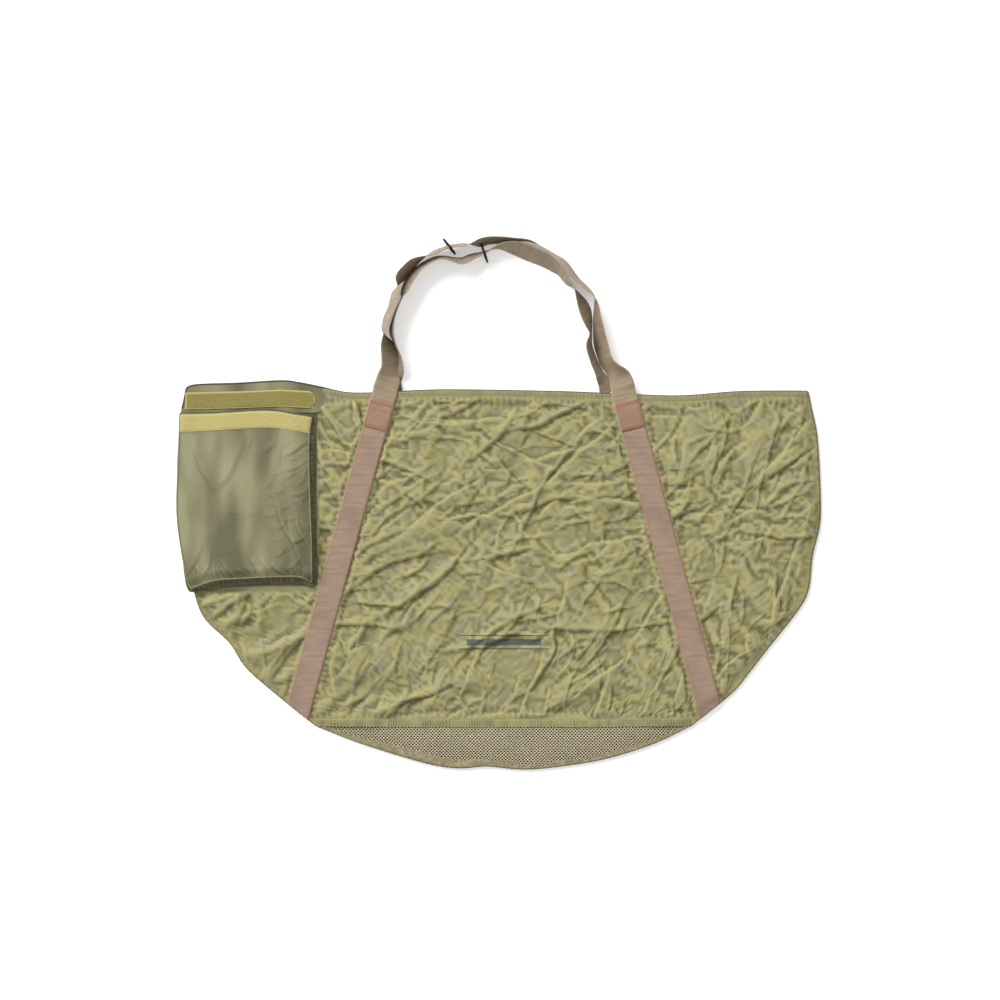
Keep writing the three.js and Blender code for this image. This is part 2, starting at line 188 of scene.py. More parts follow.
def corners_of(table, x, y):
    """Where a point is in its square of a table, and the values at the square's four corners."""
    i = np.floor(x).astype(int)
    j = np.floor(y).astype(int)
    corners = [table[(i + a) % TABLE, (j + b) % TABLE] for a, b in ((0, 0), (1, 0), (0, 1), (1, 1))]
    return x - i, y - j, *corners


def noise(x, y, size, seed):
    """Smooth noise from -1 to 1 whose bumps are about a size across."""
    fx, fy, a, b, c, d = corners_of(table_of(seed), x / size + 7.3, y / size + 3.1)
    sx, sy = smoothstep(fx), smoothstep(fy)
    return (a * (1 - sx) + b * sx) * (1 - sy) + (c * (1 - sx) + d * sx) * sy


def wave(x, size, seed):
    """Smooth noise along a line."""
    return noise(x, 0 * x, size, seed)


def facets(x, y, size, stretch, turn, seed):
    """Flat triangles at random heights from -1 to 1, as in crumpled cloth, longer along the turned axis."""
    x = x + 0.45 * size * noise(x, y, 1.7 * size, seed + 1)
    y = y + 0.45 * size * noise(x, y, 1.7 * size, seed + 2)
    turn = math.radians(turn)
    u = (x * math.cos(turn) + y * math.sin(turn)) / (size * stretch)
    v = (y * math.cos(turn) - x * math.sin(turn)) / size
    fx, fy, a, b, c, d = corners_of(table_of(seed), u, v)
    lean = corners_of(table_of(seed + 3), u, v)[2] > 0
    rising = np.where(fx > fy, a + (b - a) * fx + (d - b) * fy, a + (d - c) * fx + (c - a) * fy)
    near = a + (b - a) * fx + (c - a) * fy
    far = d + (c - d) * (1 - fx) + (b - d) * (1 - fy)
    falling = np.where(fx + fy < 1, near, far)
    return np.where(lean, rising, falling)


def blur(values, times):
    """Each value averaged with its neighbours in a grid, some number of times."""
    for _ in range(times):
        wide = np.pad(values, 1, mode="edge")
        beside = wide[:-2, 1:-1] + wide[2:, 1:-1] + wide[1:-1, :-2] + wide[1:-1, 2:]
        values = (4 * values + beside) / 8
    return values


def resample(values, rows, columns):
    """A grid of values on more rows and columns, smoothly."""
    down = catmull_rom(values.reshape(values.shape[0], -1), rows).reshape(rows, *values.shape[1:])
    turned = np.swapaxes(down, 0, 1)
    across = catmull_rom(turned.reshape(turned.shape[0], -1), columns)
    return np.swapaxes(across.reshape(columns, *turned.shape[1:]), 0, 1)


# ---- materials ----

def shader_of(material):
    return material.node_tree.nodes["Principled BSDF"]


def new_material(name, roughness, specular, sheen=0.0, metallic=0.0):
    material = bpy.data.materials.new(name)
    material.use_nodes = True
    inputs = shader_of(material).inputs
    inputs["Roughness"].default_value = roughness
    inputs["Specular IOR Level"].default_value = specular
    inputs["Sheen Weight"].default_value = sheen
    inputs["Metallic"].default_value = metallic
    return material


def add_node(material, kind, values=(), links=(), **settings):
    """A node with its settings, its unlinked input values and its links, which are (input, node, output)."""
    made = material.node_tree.nodes.new("ShaderNode" + kind)
    for key, value in settings.items():
        setattr(made, key, value)
    for key, value in dict(values).items():
        made.inputs[key].default_value = value
    for key, node, output in links:
        material.node_tree.links.new(node.outputs[output], made.inputs[key])
    return made


def link_shader(material, socket, node, output):
    material.node_tree.links.new(node.outputs[output], shader_of(material).inputs[socket])


def rgb(code):
    """A colour for a shader, from its sRGB hex code."""
    parts = [int(code[i:i + 2], 16) / 255 for i in (0, 2, 4)]
    return [p / 12.92 if p < 0.04045 else ((p + 0.055) / 1.055) ** 2.4 for p in parts] + [1]


def attribute(material, name):
    return add_node(material, "Attribute", attribute_name=name)


def mapping(material, place, output="Vector", **values):
    """A place that is moved, turned or scaled."""
    return add_node(material, "Mapping", values, [("Vector", place, output)])


def texture(material, kind, place, scale, values=(), **settings):
    values = [("Scale", scale), *values]
    return add_node(material, "Tex" + kind, values, [("Vector", place, "Vector")], **settings)


def cloud(material, place, size, detail):
    """A noise whose bumps are a size across in millimetres."""
    return texture(material, "Noise", place, 1 / size, [("Detail", detail)])


def bump(material, strength, depth, node, output, under=None):
    """A bump of a depth in millimetres, over another bump if there is one."""
    links = [("Height", node, output)]
    if under is not None:
        links.append(("Normal", under, "Normal"))
    return add_node(material, "Bump", [("Strength", strength), ("Distance", depth * MM)], links)


def in_range(material, node, output, **limits):
    """A factor on another scale. The limits are From_Min, From_Max, To_Min and To_Max."""
    values = [(name.replace("_", " "), value) for name, value in limits.items()]
    return add_node(material, "MapRange", values, [("Value", node, output)])


def mottled(material, place, size, detail, low, high, colours):
    """Colours laid over a noise whose bumps are a size across in millimetres."""
    ramp = add_node(material, "ValToRGB", links=[("Fac", cloud(material, place, size, detail), "Fac")])
    elements = ramp.color_ramp.elements
    elements[0].position = low
    elements[1].position = high
    elements[0].color = rgb(colours[0])
    elements[1].color = rgb(colours[-1])
    for n, colour in enumerate(colours[1:-1], 1):
        elements.new(low + (high - low) * n / (len(colours) - 1)).color = rgb(colour)
    return ramp


def in_millimetres(material):
    """The piece's own place in its UV map, which is in millimetres along and across the cloth."""
    return mapping(material, add_node(material, "UVMap", uv_map="cloth"), "UV")


def weave(material, place, pitch, depth, strength):
    """A bump of threads that cross at right angles, a pitch apart in millimetres."""
    both = add_node(material, "Math", operation="MULTIPLY")
    for n, axis in enumerate("XY"):
        threads = texture(material, "Wave", place, math.pi / 10 / pitch, [("Distortion", 0.4)],
                          bands_direction=axis)
        material.node_tree.links.new(threads.outputs["Fac"], both.inputs[n])
    return bump(material, strength, depth, both, "Value")


def tinted(material, base, factor, factor_output, colour, amount):
    """A colour mixed over another by a factor between 0 and 1 times an amount."""
    share = add_node(material, "Math", [(1, amount)], [(0, factor, factor_output)],
                     operation="MULTIPLY", use_clamp=True)
    mixed = add_node(material, "Mix", data_type="RGBA")
    links = material.node_tree.links
    links.new(share.outputs[0], mixed.inputs[0])
    links.new(base.outputs[2 if base.bl_idname == "ShaderNodeMix" else 0], mixed.inputs[6])
    mixed.inputs[7].default_value = rgb(colour)
    return mixed


def paint_fold_light_and_shade(material, base, ridge_highlight, ridge_highlight_amount, crease_shade, crease_shade_amount):
    """The base colour, lighter on fold crests as a painted highlight and darker in creases as painted shade.
    """
    crease = attribute(material, "crease")
    hollow = add_node(material, "Math", [(1, -1)], [(0, crease, "Fac")], operation="MULTIPLY")
    once_tinted = tinted(material, base, crease, "Fac", ridge_highlight, ridge_highlight_amount)
    link_shader(material, "Base Color", tinted(material, once_tinted, hollow, 0, crease_shade, crease_shade_amount), 2)


def vary_gloss(material, roughness, more, node, output):
    """Roughness between a little less than it is said to be and some more."""
    gloss = in_range(material, node, output, To_Min=roughness - 0.08, To_Max=roughness + more)
    link_shader(material, "Roughness", gloss, "Result")


def wrinkled(material, place, under):
    """Bumps over another bump: crisp crease lines between small flat faces, and a soft unevenness."""
    push = cloud(material, place, 30, 1)
    moved = add_node(material, "VectorMath", [(1, (22, 22, 0))], [(0, push, "Color"), (2, place, "Vector")],
                     operation="MULTIPLY_ADD")
    longer = mapping(material, moved, Rotation=(0, 0, math.radians(-28)), Scale=(0.55, 1, 1))
    creased = under
    for size, depth in ((20, 2.2), (9, 1.0)):
        cells = texture(material, "Voronoi", longer, 1 / size)
        creased = bump(material, 0.55, depth, cells, "Distance", creased)
    return bump(material, 0.35, 0.9, cloud(material, place, 7, 3), "Fac", creased)


def crumpled_nylon(name, colours, roughness, ridge_highlight, crease_shade, specular):
    """Coated nylon: mottled, with a painted highlight on fold crests and painted shade in creases, and finely
    woven.
    """
    material = new_material(name, roughness, specular, 0.05)
    place = in_millimetres(material)
    base = mottled(material, place, 26, 3, 0.32, 0.68, colours)
    paint_fold_light_and_shade(material, base, ridge_highlight, 0.6, crease_shade, 0.85)
    vary_gloss(material, roughness, 0.12, cloud(material, place, 25, 4), "Fac")
    threads = weave(material, place, 0.7, 0.12, 0.35)
    link_shader(material, "Normal", wrinkled(material, place, threads), "Normal")
    return material


def satin(name, colours, roughness, ridge_highlight, crease_shade):
    """Smoother, glossier nylon: long soft streaks of lighter and darker cloth, and a fine weave."""
    material = new_material(name, roughness, 0.14, 0.05)
    place = in_millimetres(material)
    streaks = mapping(material, place, Scale=(1.0, 0.3, 1), Location=(31, 0, 0))
    base = mottled(material, streaks, 52, 1.5, 0.36, 0.62, colours)
    # The fold crests get a painted highlight and the creases painted shade.
    paint_fold_light_and_shade(material, base, ridge_highlight, 0.5, crease_shade, 0.8)
    vary_gloss(material, roughness, 0.14, base, "Color")
    threads = weave(material, place, 0.6, 0.1, 0.3)
    soft = bump(material, 0.25, 0.8, cloud(material, place, 9, 2), "Fac", threads)
    link_shader(material, "Normal", soft, "Normal")
    return material


def webbing(name, colours, edge, dirt):
    """Flat woven webbing: ribs across it, a firmer edge and long faint streaks of wear."""
    material = new_material(name, 0.82, 0.25, 0.1)
    place = in_millimetres(material)
    base = mottled(material, mapping(material, place, Scale=(0.25, 1.6, 1)), 9, 4, 0.25, 0.75, colours)
    patches = in_range(material, cloud(material, place, 55, 2), "Fac", From_Min=0.45, From_Max=0.7)
    once_tinted = tinted(material, base, patches, "Result", dirt, 0.5)
    edged = tinted(material, once_tinted, attribute(material, "rim"), "Fac", edge, 0.6)
    link_shader(material, "Base Color", edged, 2)
    link_shader(material, "Normal", weave(material, place, 1.5, 0.35, 0.8), "Normal")
    return material


def fuzzy(name, colours, rim_colour):
    """The hooks or loops of a touch fastener, with a plain woven selvedge."""
    material = new_material(name, 0.95, 0.15, 0.25)
    place = in_millimetres(material)
    base = mottled(material, place, 2.2, 4, 0.3, 0.7, colours)
    once_tinted = tinted(material, base, cloud(material, place, 40, 2), "Fac", colours[0], 0.45)
    edged = tinted(material, once_tinted, attribute(material, "rim"), "Fac", rim_colour, 0.9)
    link_shader(material, "Base Color", edged, 2)
    hairs = texture(material, "Voronoi", place, 1 / 0.9)
    link_shader(material, "Normal", bump(material, 0.6, 0.5, hairs, "Distance"), "Normal")
    return material


def plain(name, colours, roughness, grain, depth, specular=0.4, metallic=0.0):
    """A small piece: thread, binding, netting or metal, with a fine grain in its colour and surface."""
    material = new_material(name, roughness, specular, metallic=metallic)
    spot = mapping(material, add_node(material, "TexCoord"), "Object", Scale=(1 / MM,) * 3)
    link_shader(material, "Base Color", mottled(material, spot, grain, 3, 0.3, 0.7, colours), "Color")
    fine = cloud(material, spot, grain, 3)
    link_shader(material, "Normal", bump(material, 0.5, depth, fine, "Fac"), "Normal")
    return material


def folded_netting(name, colours, hole_shade):
    """Netting folded over on itself: a cloth with small holes painted on it in a dark painted shade, for the
    shadow seen through them.
    """
    material = new_material(name, 0.85, 0.2)
    place = in_millimetres(material)
    base = mottled(material, place, 12, 3, 0.3, 0.7, colours)
    turned = mapping(material, place, Rotation=(0, 0, math.radians(45)))
    cells = texture(material, "Voronoi", turned, math.sqrt(2) / NET_PITCH, [("Randomness", 0.35)])
    holes = in_range(material, cells, "Distance", From_Min=0.4, From_Max=0.2)
    link_shader(material, "Base Color", tinted(material, base, holes, "Result", hole_shade, 0.75), 2)
    link_shader(material, "Normal", bump(material, 0.7, 0.9, cells, "Distance"), "Normal")
    return material


PRINT = {"x": 8, "y": -228, "width": 150, "height": 24}


def add_print(material):
    """A small dark printed patch of plain bars, with no lettering, on the cloth near its base."""
    split = add_node(material, "SeparateXYZ", links=[("Vector", in_millimetres(material), "Vector")])

    def band(axis, centre, half):
        away = add_node(material, "Math", [(1, centre)], [(0, split, axis)], operation="SUBTRACT")
        size = add_node(material, "Math", links=[(0, away, 0)], operation="ABSOLUTE")
        return add_node(material, "Math", [(1, half)], [(0, size, 0)], operation="LESS_THAN")

    def both(one, other, operation):
        return add_node(material, "Math", links=[(0, one, 0), (1, other, 0)], operation=operation)

    half_width, half_height = PRINT["width"] / 2, PRINT["height"] / 2
    bars = None
    for offset, half, reach in ((half_height - 1, 1, 1), (1 - half_height, 1, 1), (0, 5, 0.82)):
        high, wide = band("Y", PRINT["y"] + offset, half), band("X", PRINT["x"], half_width * reach)
        bar = both(high, wide, "MULTIPLY")
        bars = bar if bars is None else both(bars, bar, "MAXIMUM")
    base = shader_of(material).inputs["Base Color"].links[0].from_node
    link_shader(material, "Base Color", tinted(material, base, bars, 0, "35404a", 0.8), 2)


OLIVE = ["8a8569", "8f8a64", "958e61", "9a9260"]
# After its roughness, each cloth gets a painted highlight colour for fold crests and a painted shade colour
# for creases.
front_nylon = crumpled_nylon("front_nylon", OLIVE, 0.6, "a8a272", "5c5a38", 0.22)
add_print(front_nylon)
back_nylon = crumpled_nylon("back_nylon", OLIVE, 0.6, "a8a272", "5c5a38", 0.22)
hem_nylon = crumpled_nylon("hem_nylon", ["858060", "8f8a62", "98925f"], 0.62, "a59f6e", "55533a", 0.22)
side_nylon = crumpled_nylon("side_nylon", ["69673f", "737048", "7c784e"], 0.65, "8c875b", "4a482f", 0.2)
gusset_nylon = crumpled_nylon("gusset_nylon", ["4b4934", "5a573f", "69664b"], 0.55, "7b775c", "262414", 0.25)
pouch_nylon = satin("pouch_nylon", ["64614a", "716e54", "807d60", "8e8b6c"], 0.56, "8e8b6d", "38361f")
loop_webbing = webbing("loop_webbing", ["8a7863", "97866f", "a4937b"], "b0a087", "7a6b58")
body_webbing = webbing("body_webbing", ["8d7665", "9a8371", "a58e7c"], "a98f7d", "806d5e")
hook_tape = fuzzy("hook_tape", ["786f3c", "8b814a", "9e9458"], "b8ac70")
loop_tape = fuzzy("loop_tape", ["a2955c", "b5a96c", "c8bd86"], "b9ad72")
binding = plain("binding", ["3d3b2d", "4c4a38", "5a5743"], 0.7, 2.5, 0.2)
piping_nylon = plain("piping_nylon", ["6d6a50", "7f7b5d", "918d6c"], 0.55, 2.0, 0.3, 0.3)
red_thread = plain("red_thread", ["a65c4a", "b26856", "be7664"], 0.75, 1.0, 0.1)
olive_thread = plain("olive_thread", ["8d8a62", "a8a47a"], 0.75, 1.0, 0.1)
netting = plain("netting", ["b3a785", "cabd9a", "ddd2b2"], 0.8, 3.0, 0.2)
# The back netting's strands are a near-black painted shade, for the shadow under the front netting, not the
# netting's own colour.
back_netting_painted_shade = plain("back_netting_painted_shade", ["100f09", "17150d", "211e14"], 0.85, 3.0, 0.2)
# The last colour is the painted shade of the netting fold's holes.
net_cloth = folded_netting("net_cloth", ["857b60", "978c6e", "a79c7d"], "453e2c")
black_metal = plain("black_metal", ["121214", "1f1f22"], 0.32, 1.5, 0.02, 0.5, 0.85)


# ---- making pieces ----

def belongs(piece, body, slot, *nodes):
    """Puts a piece on its body, in place of the solids it stands for. The slot is not used."""
    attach(piece, body)
    if nodes:
        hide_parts(*nodes)


def add_object(name, vertices, faces, material):
    mesh = bpy.data.meshes.new(name)
    mesh.from_pydata((np.asarray(vertices) * MM).tolist(), [], faces)
    mesh.update()
    mesh.materials.append(material)
    mesh.polygons.foreach_set("use_smooth", [True] * len(mesh.polygons))
    piece = bpy.data.objects.new(name, mesh)
    bpy.context.scene.collection.objects.link(piece)
    return piece


def add_values(piece, name, values):
    made = piece.data.attributes.new(name, "FLOAT", "POINT")
    made.data.foreach_set("value", np.asarray(values, np.float32).ravel())


def set_places(piece, places):
    """The UV map "cloth", from each vertex's place on the cloth in millimetres."""
    layer = piece.data.uv_layers.new(name="cloth")
    corner = np.zeros(len(piece.data.loops), np.int32)
    piece.data.loops.foreach_get("vertex_index", corner)
    layer.data.foreach_set("uv", np.asarray(places, np.float32)[corner].ravel())


def numbers_of(rows, columns, start=0):
    return np.arange(rows * columns).reshape(rows, columns) + start


def grid_faces(numbers):
    squares = [numbers[:-1, :-1], numbers[1:, :-1], numbers[1:, 1:], numbers[:-1, 1:]]
    return np.stack(squares, -1).reshape(-1, 4)


def rim_of(numbers):
    """The numbers round the edge of a grid, in order."""
    return np.concatenate([numbers[0, :-1], numbers[:-1, -1], numbers[-1, :0:-1], numbers[:0:-1, 0]])


def grid_normals(grid):
    return unit(np.cross(np.gradient(grid, axis=0), np.gradient(grid, axis=1)))


def add_sheet(name, grid, thickness, material, uv=None, crease=None, rim=None, normals=None):
    """A grid of points as a thin closed sheet. uv is each point's place on the cloth in millimetres."""
    rows, columns = grid.shape[:2]
    normals = grid_normals(grid) if normals is None else normals
    half = np.broadcast_to(np.asarray(thickness, float), (rows, columns))[..., None] / 2
    upper = (grid + normals * half).reshape(-1, 3)
    lower = (grid - normals * half).reshape(-1, 3)
    numbers = numbers_of(rows, columns)
    count = rows * columns
    top = grid_faces(numbers)
    ring = rim_of(numbers)
    after = np.roll(ring, -1)
    sides = np.stack([ring, after, after + count, ring + count], -1)
    faces = np.concatenate([top, top[:, ::-1] + count, sides]).tolist()
    piece = add_object(name, np.concatenate([upper, lower]), faces, material)
    uv = grid[..., :2] if uv is None else uv
    set_places(piece, np.concatenate([uv.reshape(-1, 2)] * 2))
    for title, values in (("crease", crease), ("rim", rim)):
        if values is not None:
            values = np.broadcast_to(values, (rows, columns))
            add_values(piece, title, np.concatenate([np.ravel(values)] * 2))
    return piece


def add_fine_sheet(name, grid, thickness, material, crease):
    """A thin closed sheet whose upper side has every point of a grid and its lower side every other one."""
    rows, columns = grid.shape[:2]
    wide = np.pad(grid[..., 2], 1, mode="edge")
    lowest = np.min([wide[i:i + rows, j:j + columns] for i in range(3) for j in range(3)], axis=0)
    lower = grid[::2, ::2].copy()
    lower[..., 2] = lowest[::2, ::2] - thickness
    over = numbers_of(rows, columns)
    under = numbers_of(*lower.shape[:2], rows * columns)
    fine, coarse = rim_of(over), rim_of(under)
    sides = np.stack([fine[::2], fine[1::2], np.roll(fine, -2)[::2], np.roll(coarse, -1), coarse], -1)
    faces = grid_faces(over).tolist() + grid_faces(under)[:, ::-1].tolist() + sides.tolist()
    points = np.concatenate([grid.reshape(-1, 3), lower.reshape(-1, 3)])
    piece = add_object(name, points, faces, material)
    set_places(piece, points[:, :2])
    add_values(piece, "crease", np.concatenate([crease.ravel(), crease[::2, ::2].ravel()]))
    return piece


def circle(sides):
    """The cosines and sines of evenly spaced angles round a circle."""
    angle = np.arange(sides) / sides * 2 * math.pi
    return np.cos(angle)[:, None], np.sin(angle)[:, None]


def tube_faces(rings, sides, closed):
    """The faces of a skin over rings of points."""
    faces = []
    for n in range(rings if closed else rings - 1):
        for k in range(sides):
            this, after = n * sides, (n + 1) % rings * sides
            step = (k + 1) % sides
            faces.append((this + k, after + k, after + step, this + step))
    if not closed:
        faces.append(tuple(range(sides)))
        faces.append(tuple(range((rings - 1) * sides, rings * sides))[::-1])
    return faces


def add_tube(name, path, radius, material, sides=8):
    """A round tube along some points."""
    ahead = np.roll(path, -1, axis=0) - np.roll(path, 1, axis=0)
    ahead[0], ahead[-1] = path[1] - path[0], path[-1] - path[-2]
    ahead = unit(ahead)
    side = unit(np.cross(ahead, (0, 0, 1.0)))
    up = np.cross(side, ahead)
    cos, sin = circle(sides)
    skin = path[:, None] + radius * (cos * side[:, None] + sin * up[:, None])
    return add_object(name, skin.reshape(-1, 3), tube_faces(len(path), sides, False), material)


def stitch_line(points, pitch):
    """Places and directions of stitches, a pitch apart, along a line of points."""
    line = evenly(np.asarray(points, float), pitch)
    return (line[1:] + line[:-1]) / 2, line[1:] - line[:-1]


# how far along a stitch each of its rings is, and its thickness there, as shares of the whole
STITCH_RINGS = ((-0.5, 0.25), (-0.32, 1.0), (0.32, 1.0), (0.5, 0.25))
STITCH_SIDES = 6


def turned_over(faces):
    """The same faces, facing the other way."""
    return [(face[0], *face[:0:-1]) for face in faces]


def add_stitches(name, rows, length, radius, material):
    """Short threads, each a six-sided spindle along its direction, half sunk in the cloth."""
    places, directions = (np.concatenate(parts) for parts in zip(*rows))
    directions = unit(directions)
    side = unit(np.cross((0, 0, 1.0), directions))
    up = np.cross(directions, side)
    cos, sin = circle(STITCH_SIDES)
    around = radius * (cos * side[:, None] + sin * up[:, None])
    points = np.concatenate([places[:, None] + directions[:, None] * length * share + around * size
                             for share, size in STITCH_RINGS], axis=1)
    one = turned_over(tube_faces(len(STITCH_RINGS), STITCH_SIDES, False))
    faces = [tuple(v + points.shape[1] * n for v in face) for n in range(len(places)) for face in one]
    return add_object(name, points.reshape(-1, 3), faces, material)


def outwards_of(line):
    """The level direction to the right of a line of points, a little smoothed."""
    last = len(line) - 1
    index = np.arange(len(line))
    ahead = line[np.minimum(index + 6, last)] - line[np.maximum(index - 6, 0)]
    return unit(stacked(ahead[:, 1], -ahead[:, 0], 0.0))


# ---- the outline, and how far a point is from each thing sewn to a panel ----

def edge_x(side, y):
    line = catmull_rom(LEFT_SIDE if side == "left" else RIGHT_SIDE, 200)
    return np.interp(-np.asarray(y, float), -line[:, 1], line[:, 0])


def base_y(x):
    line = catmull_rom(BASE, 240)
    return np.interp(x, line[:, 0], line[:, 1])


def mouth_rise(x):
    line = catmull_rom(MOUTH_RISE, 120)
    return np.interp(x, line[:, 0], line[:, 1])


def strap_middle(face, side, y):
    left, right = STRAP_X[face]
    spread = STRAP_SLOPE * (MOUTH_Y - y)
    return left - spread if side == "left" else right + spread


def off_strap(face, side, x, y):
    """How far a point is from the near edge of a strap: less than 0 under it."""
    return np.abs(x - strap_middle(face, side, y)) / STRAP_NORM - WEBBING_WIDTH / 2


def off_edge(x, y):
    """How far in from the sling's outline a point is, about."""
    outline = np.concatenate([catmull_rom(line, 70) for line in (LEFT_SIDE, BASE, RIGHT_SIDE[::-1])])
    away = np.full(np.shape(x), 1e9)
    for px, py in outline:
        away = np.minimum(away, (x - px) ** 2 + (y - py) ** 2)
    return np.sqrt(away)


def off_pouch(x, y):
    """How far a point is from the pouch's footprint: 0 under it."""
    dx = np.maximum(np.maximum(POUCH_LOW[0] - x, x - POUCH_HIGH[0]), 0)
    dy = np.maximum(np.maximum(POUCH_LOW[1] - y, y - POUCH_HIGH[1]), 0)
    return np.hypot(dx, dy)


def panel_freedom(face, x, y):
    """How free a panel is to crumple at a point: 0 where something is sewn to it, 1 well away from that."""
    free = smoothstep(off_edge(x, y) / 22)
    for side in ("left", "right"):
        free = free * smoothstep((off_strap(face, side, x, y) + 1) / 11)
    free = free * smoothstep((MOUTH_Y + mouth_rise(x) - HEM_WIDTH + 2 - y) / 15)
    free = free * smoothstep((y - SEAM_Y - SEAM_BAND + 2) / 13)
    if face == "front":
        free = free * smoothstep(off_pouch(x, y) / 9)
    return free


def panel_plan(rows, columns):
    """The x and y of a panel's points, from the mouth down to the seam."""
    down, right = shares(rows, columns)
    y = MOUTH_Y + (SEAM_Y - MOUTH_Y) * down
    left_x, right_x = edge_x("left", y) + 0.8, edge_x("right", y) - 0.8
    x = left_x + (right_x - left_x) * right
    y = y + mouth_rise(x) * (1 - smoothstep((MOUTH_Y - y) / 120))
    return x, y


# ---- crumpled cloth ----

CLOTH_SETTINGS = {"quality": 6, "mass": 0.15, "tension_stiffness": 25, "compression_stiffness": 25,
                  "shear_stiffness": 12, "bending_stiffness": 0.02, "air_damping": 2,
                  "vertex_group_mass": "pin"}
CLOTH_GROWTH = 0.055
CLOTH_FRAMES = 28


def simulate(grid, pinned):
    """Blender's Cloth: the free part of a pinned sheet grows, so that it buckles into folds."""
    rows, columns = grid.shape[:2]
    faces = grid_faces(numbers_of(rows, columns)).tolist()
    sheet = add_object("cloth_run", grid.reshape(-1, 3), faces, front_nylon)
    group = sheet.vertex_groups.new(name="pin")
    for index in np.flatnonzero(pinned).tolist():
        group.add([index], 1.0, "REPLACE")
    cloth = sheet.modifiers.new("Cloth", "CLOTH")
    for name, value in CLOTH_SETTINGS.items():
        setattr(cloth.settings, name, value)
    cloth.settings.shrink_min = -CLOTH_GROWTH
    cloth.settings.effector_weights.gravity = 0
    cloth.collision_settings.use_collision = False
    scene = bpy.context.scene
    for timed in (scene, cloth.point_cache):
        timed.frame_start, timed.frame_end = 1, CLOTH_FRAMES
    for number in range(1, CLOTH_FRAMES + 1):
        scene.frame_set(number)
    shown = sheet.evaluated_get(bpy.context.evaluated_depsgraph_get())
    points = np.zeros(rows * columns * 3, np.float32)
    shown.data.vertices.foreach_get("co", points)
    bpy.data.objects.remove(sheet)
    scene.frame_set(1)
    return points.reshape(rows, columns, 3).astype(float) / MM


def crumple(x, y, seed):
    """Flat-faced unevenness from pressing and folding, in millimetres."""
    right = smoothstep((x + 100) / 500)
    low = smoothstep((60 - y) / 260)
    broad = facets(x, y, 62, 1.9, 24, seed) * (1 - 0.6 * low)
    broad = broad + facets(x, y, 66, 1.7, 52, seed + 10) * 0.8 * low
    middling = facets(x, y, 30, 2.0, 16, seed + 20) * (1 - 0.4 * right)
    middling = middling + facets(x, y, 34, 1.8, 60, seed + 30) * right
    small = facets(x, y, 16, 1.6, -20, seed + 40)
    return 3.0 * broad + 2.0 * middling + 0.9 * small


def fold(x, y, middle, lean, length, lift, steep, gentle, bend, wander):
    """One pressed-in fold. The cloth climbs gently to a curved crest and drops steeply on its right side."""
    lean = math.radians(lean)
    dx, dy = x - middle[0], y - middle[1]
    far = (dx * math.cos(lean) + dy * math.sin(lean)) * 2 / length
    past = dx * math.sin(lean) - dy * math.cos(lean) + bend * far ** 2 + wander
    shape = np.where(past < 0, np.exp(np.minimum(past, 0) / gentle), 1 - smoothstep(past / steep))
    return lift * np.clip(1 - far ** 2, 0, 1) * shape


def fold_lean(x, y):
    """The way most folds run at a place, in degrees from the x axis."""
    right = smoothstep((x - 120) / 260)
    low = smoothstep((-90 - y) / 160)
    beside_strap = math.exp(-((x + 235 + 0.27 * (190 - y)) / 60) ** 2)
    return 18 + 30 * right + 30 * low - 70 * beside_strap * (1 - low)


# how many folds, and their lengths, heights and the widths of their steep and gentle sides
FOLD_KINDS = [
    (64, (100, 240), (5.0, 9.5), (3.6, 6.5), (12, 30)),
    (330, (40, 110), (2.4, 5.4), (2.8, 4.4), (6, 16)),
    (820, (14, 44), (1.1, 2.6), (2.2, 3.0), (3.5, 8)),
]
FOLDS_FROM_X, FOLDS_TO_X = -535, 535
FOLDS_FROM_Y, FOLDS_TO_Y = -370, 195


def folds(x, y, seed):
    """All the folds of a panel, in millimetres."""
    draws = np.random.default_rng(seed)
    wander = 3.2 * noise(x, y, 34, seed + 1) + 1.4 * noise(x, y, 13, seed + 2)
    height = np.zeros_like(x)
    for count, lengths, lifts, steeps, gentles in FOLD_KINDS:
        for _ in range(count):
            middle = draws.uniform(FOLDS_FROM_X, FOLDS_TO_X), draws.uniform(FOLDS_FROM_Y, FOLDS_TO_Y)
            lean = fold_lean(*middle) + draws.normal(0, 24) + (180 if draws.random() < 0.3 else 0)
            length, lift = draws.uniform(*lengths), draws.uniform(*lifts)
            steep, gentle = draws.uniform(*steeps), draws.uniform(*gentles)
            bend = draws.normal(0, 0.09) * length
            reach = length / 2 + gentle
            near = (np.abs(x - middle[0]) < reach) & (np.abs(y - middle[1]) < reach)
            height[near] += fold(x[near], y[near], middle, lean, length, lift, steep, gentle, bend,
                                 wander[near])
    return height


def puckers(face, x, y):
    """Short gathers where the cloth is sewn under the straps, the hem and the seam."""
    height = np.zeros_like(x)
    lines = [(off_strap(face, side, x, y), y) for side in ("left", "right")]
    lines.append((MOUTH_Y + mouth_rise(x) - HEM_WIDTH - y, x))
    lines.append((y - SEAM_Y - SEAM_BAND, x))
    for n, (away, distance) in enumerate(lines):
        wobble = 3 * noise(x, y, 24, 900 + n)
        size = 0.9 + 0.5 * noise(x, y, 40, 920 + n)
        ripple = np.sin(2 * math.pi * distance / 10.5 + wobble)
        height += size * ripple * np.exp(-np.maximum(away, 0) / 9) * smoothstep((away + 1) / 3)
    return height


FRONT_POINTS, BACK_POINTS = (201, 387), (90, 170)  # rows and columns of the panels
CLOTH_POINTS = (90, 172)  # rows and columns of the sheet in the cloth simulation
HIGHEST_FOLD, DEEPEST_FOLD, BACK_FOLD = 11.0, 7.0, 2.2


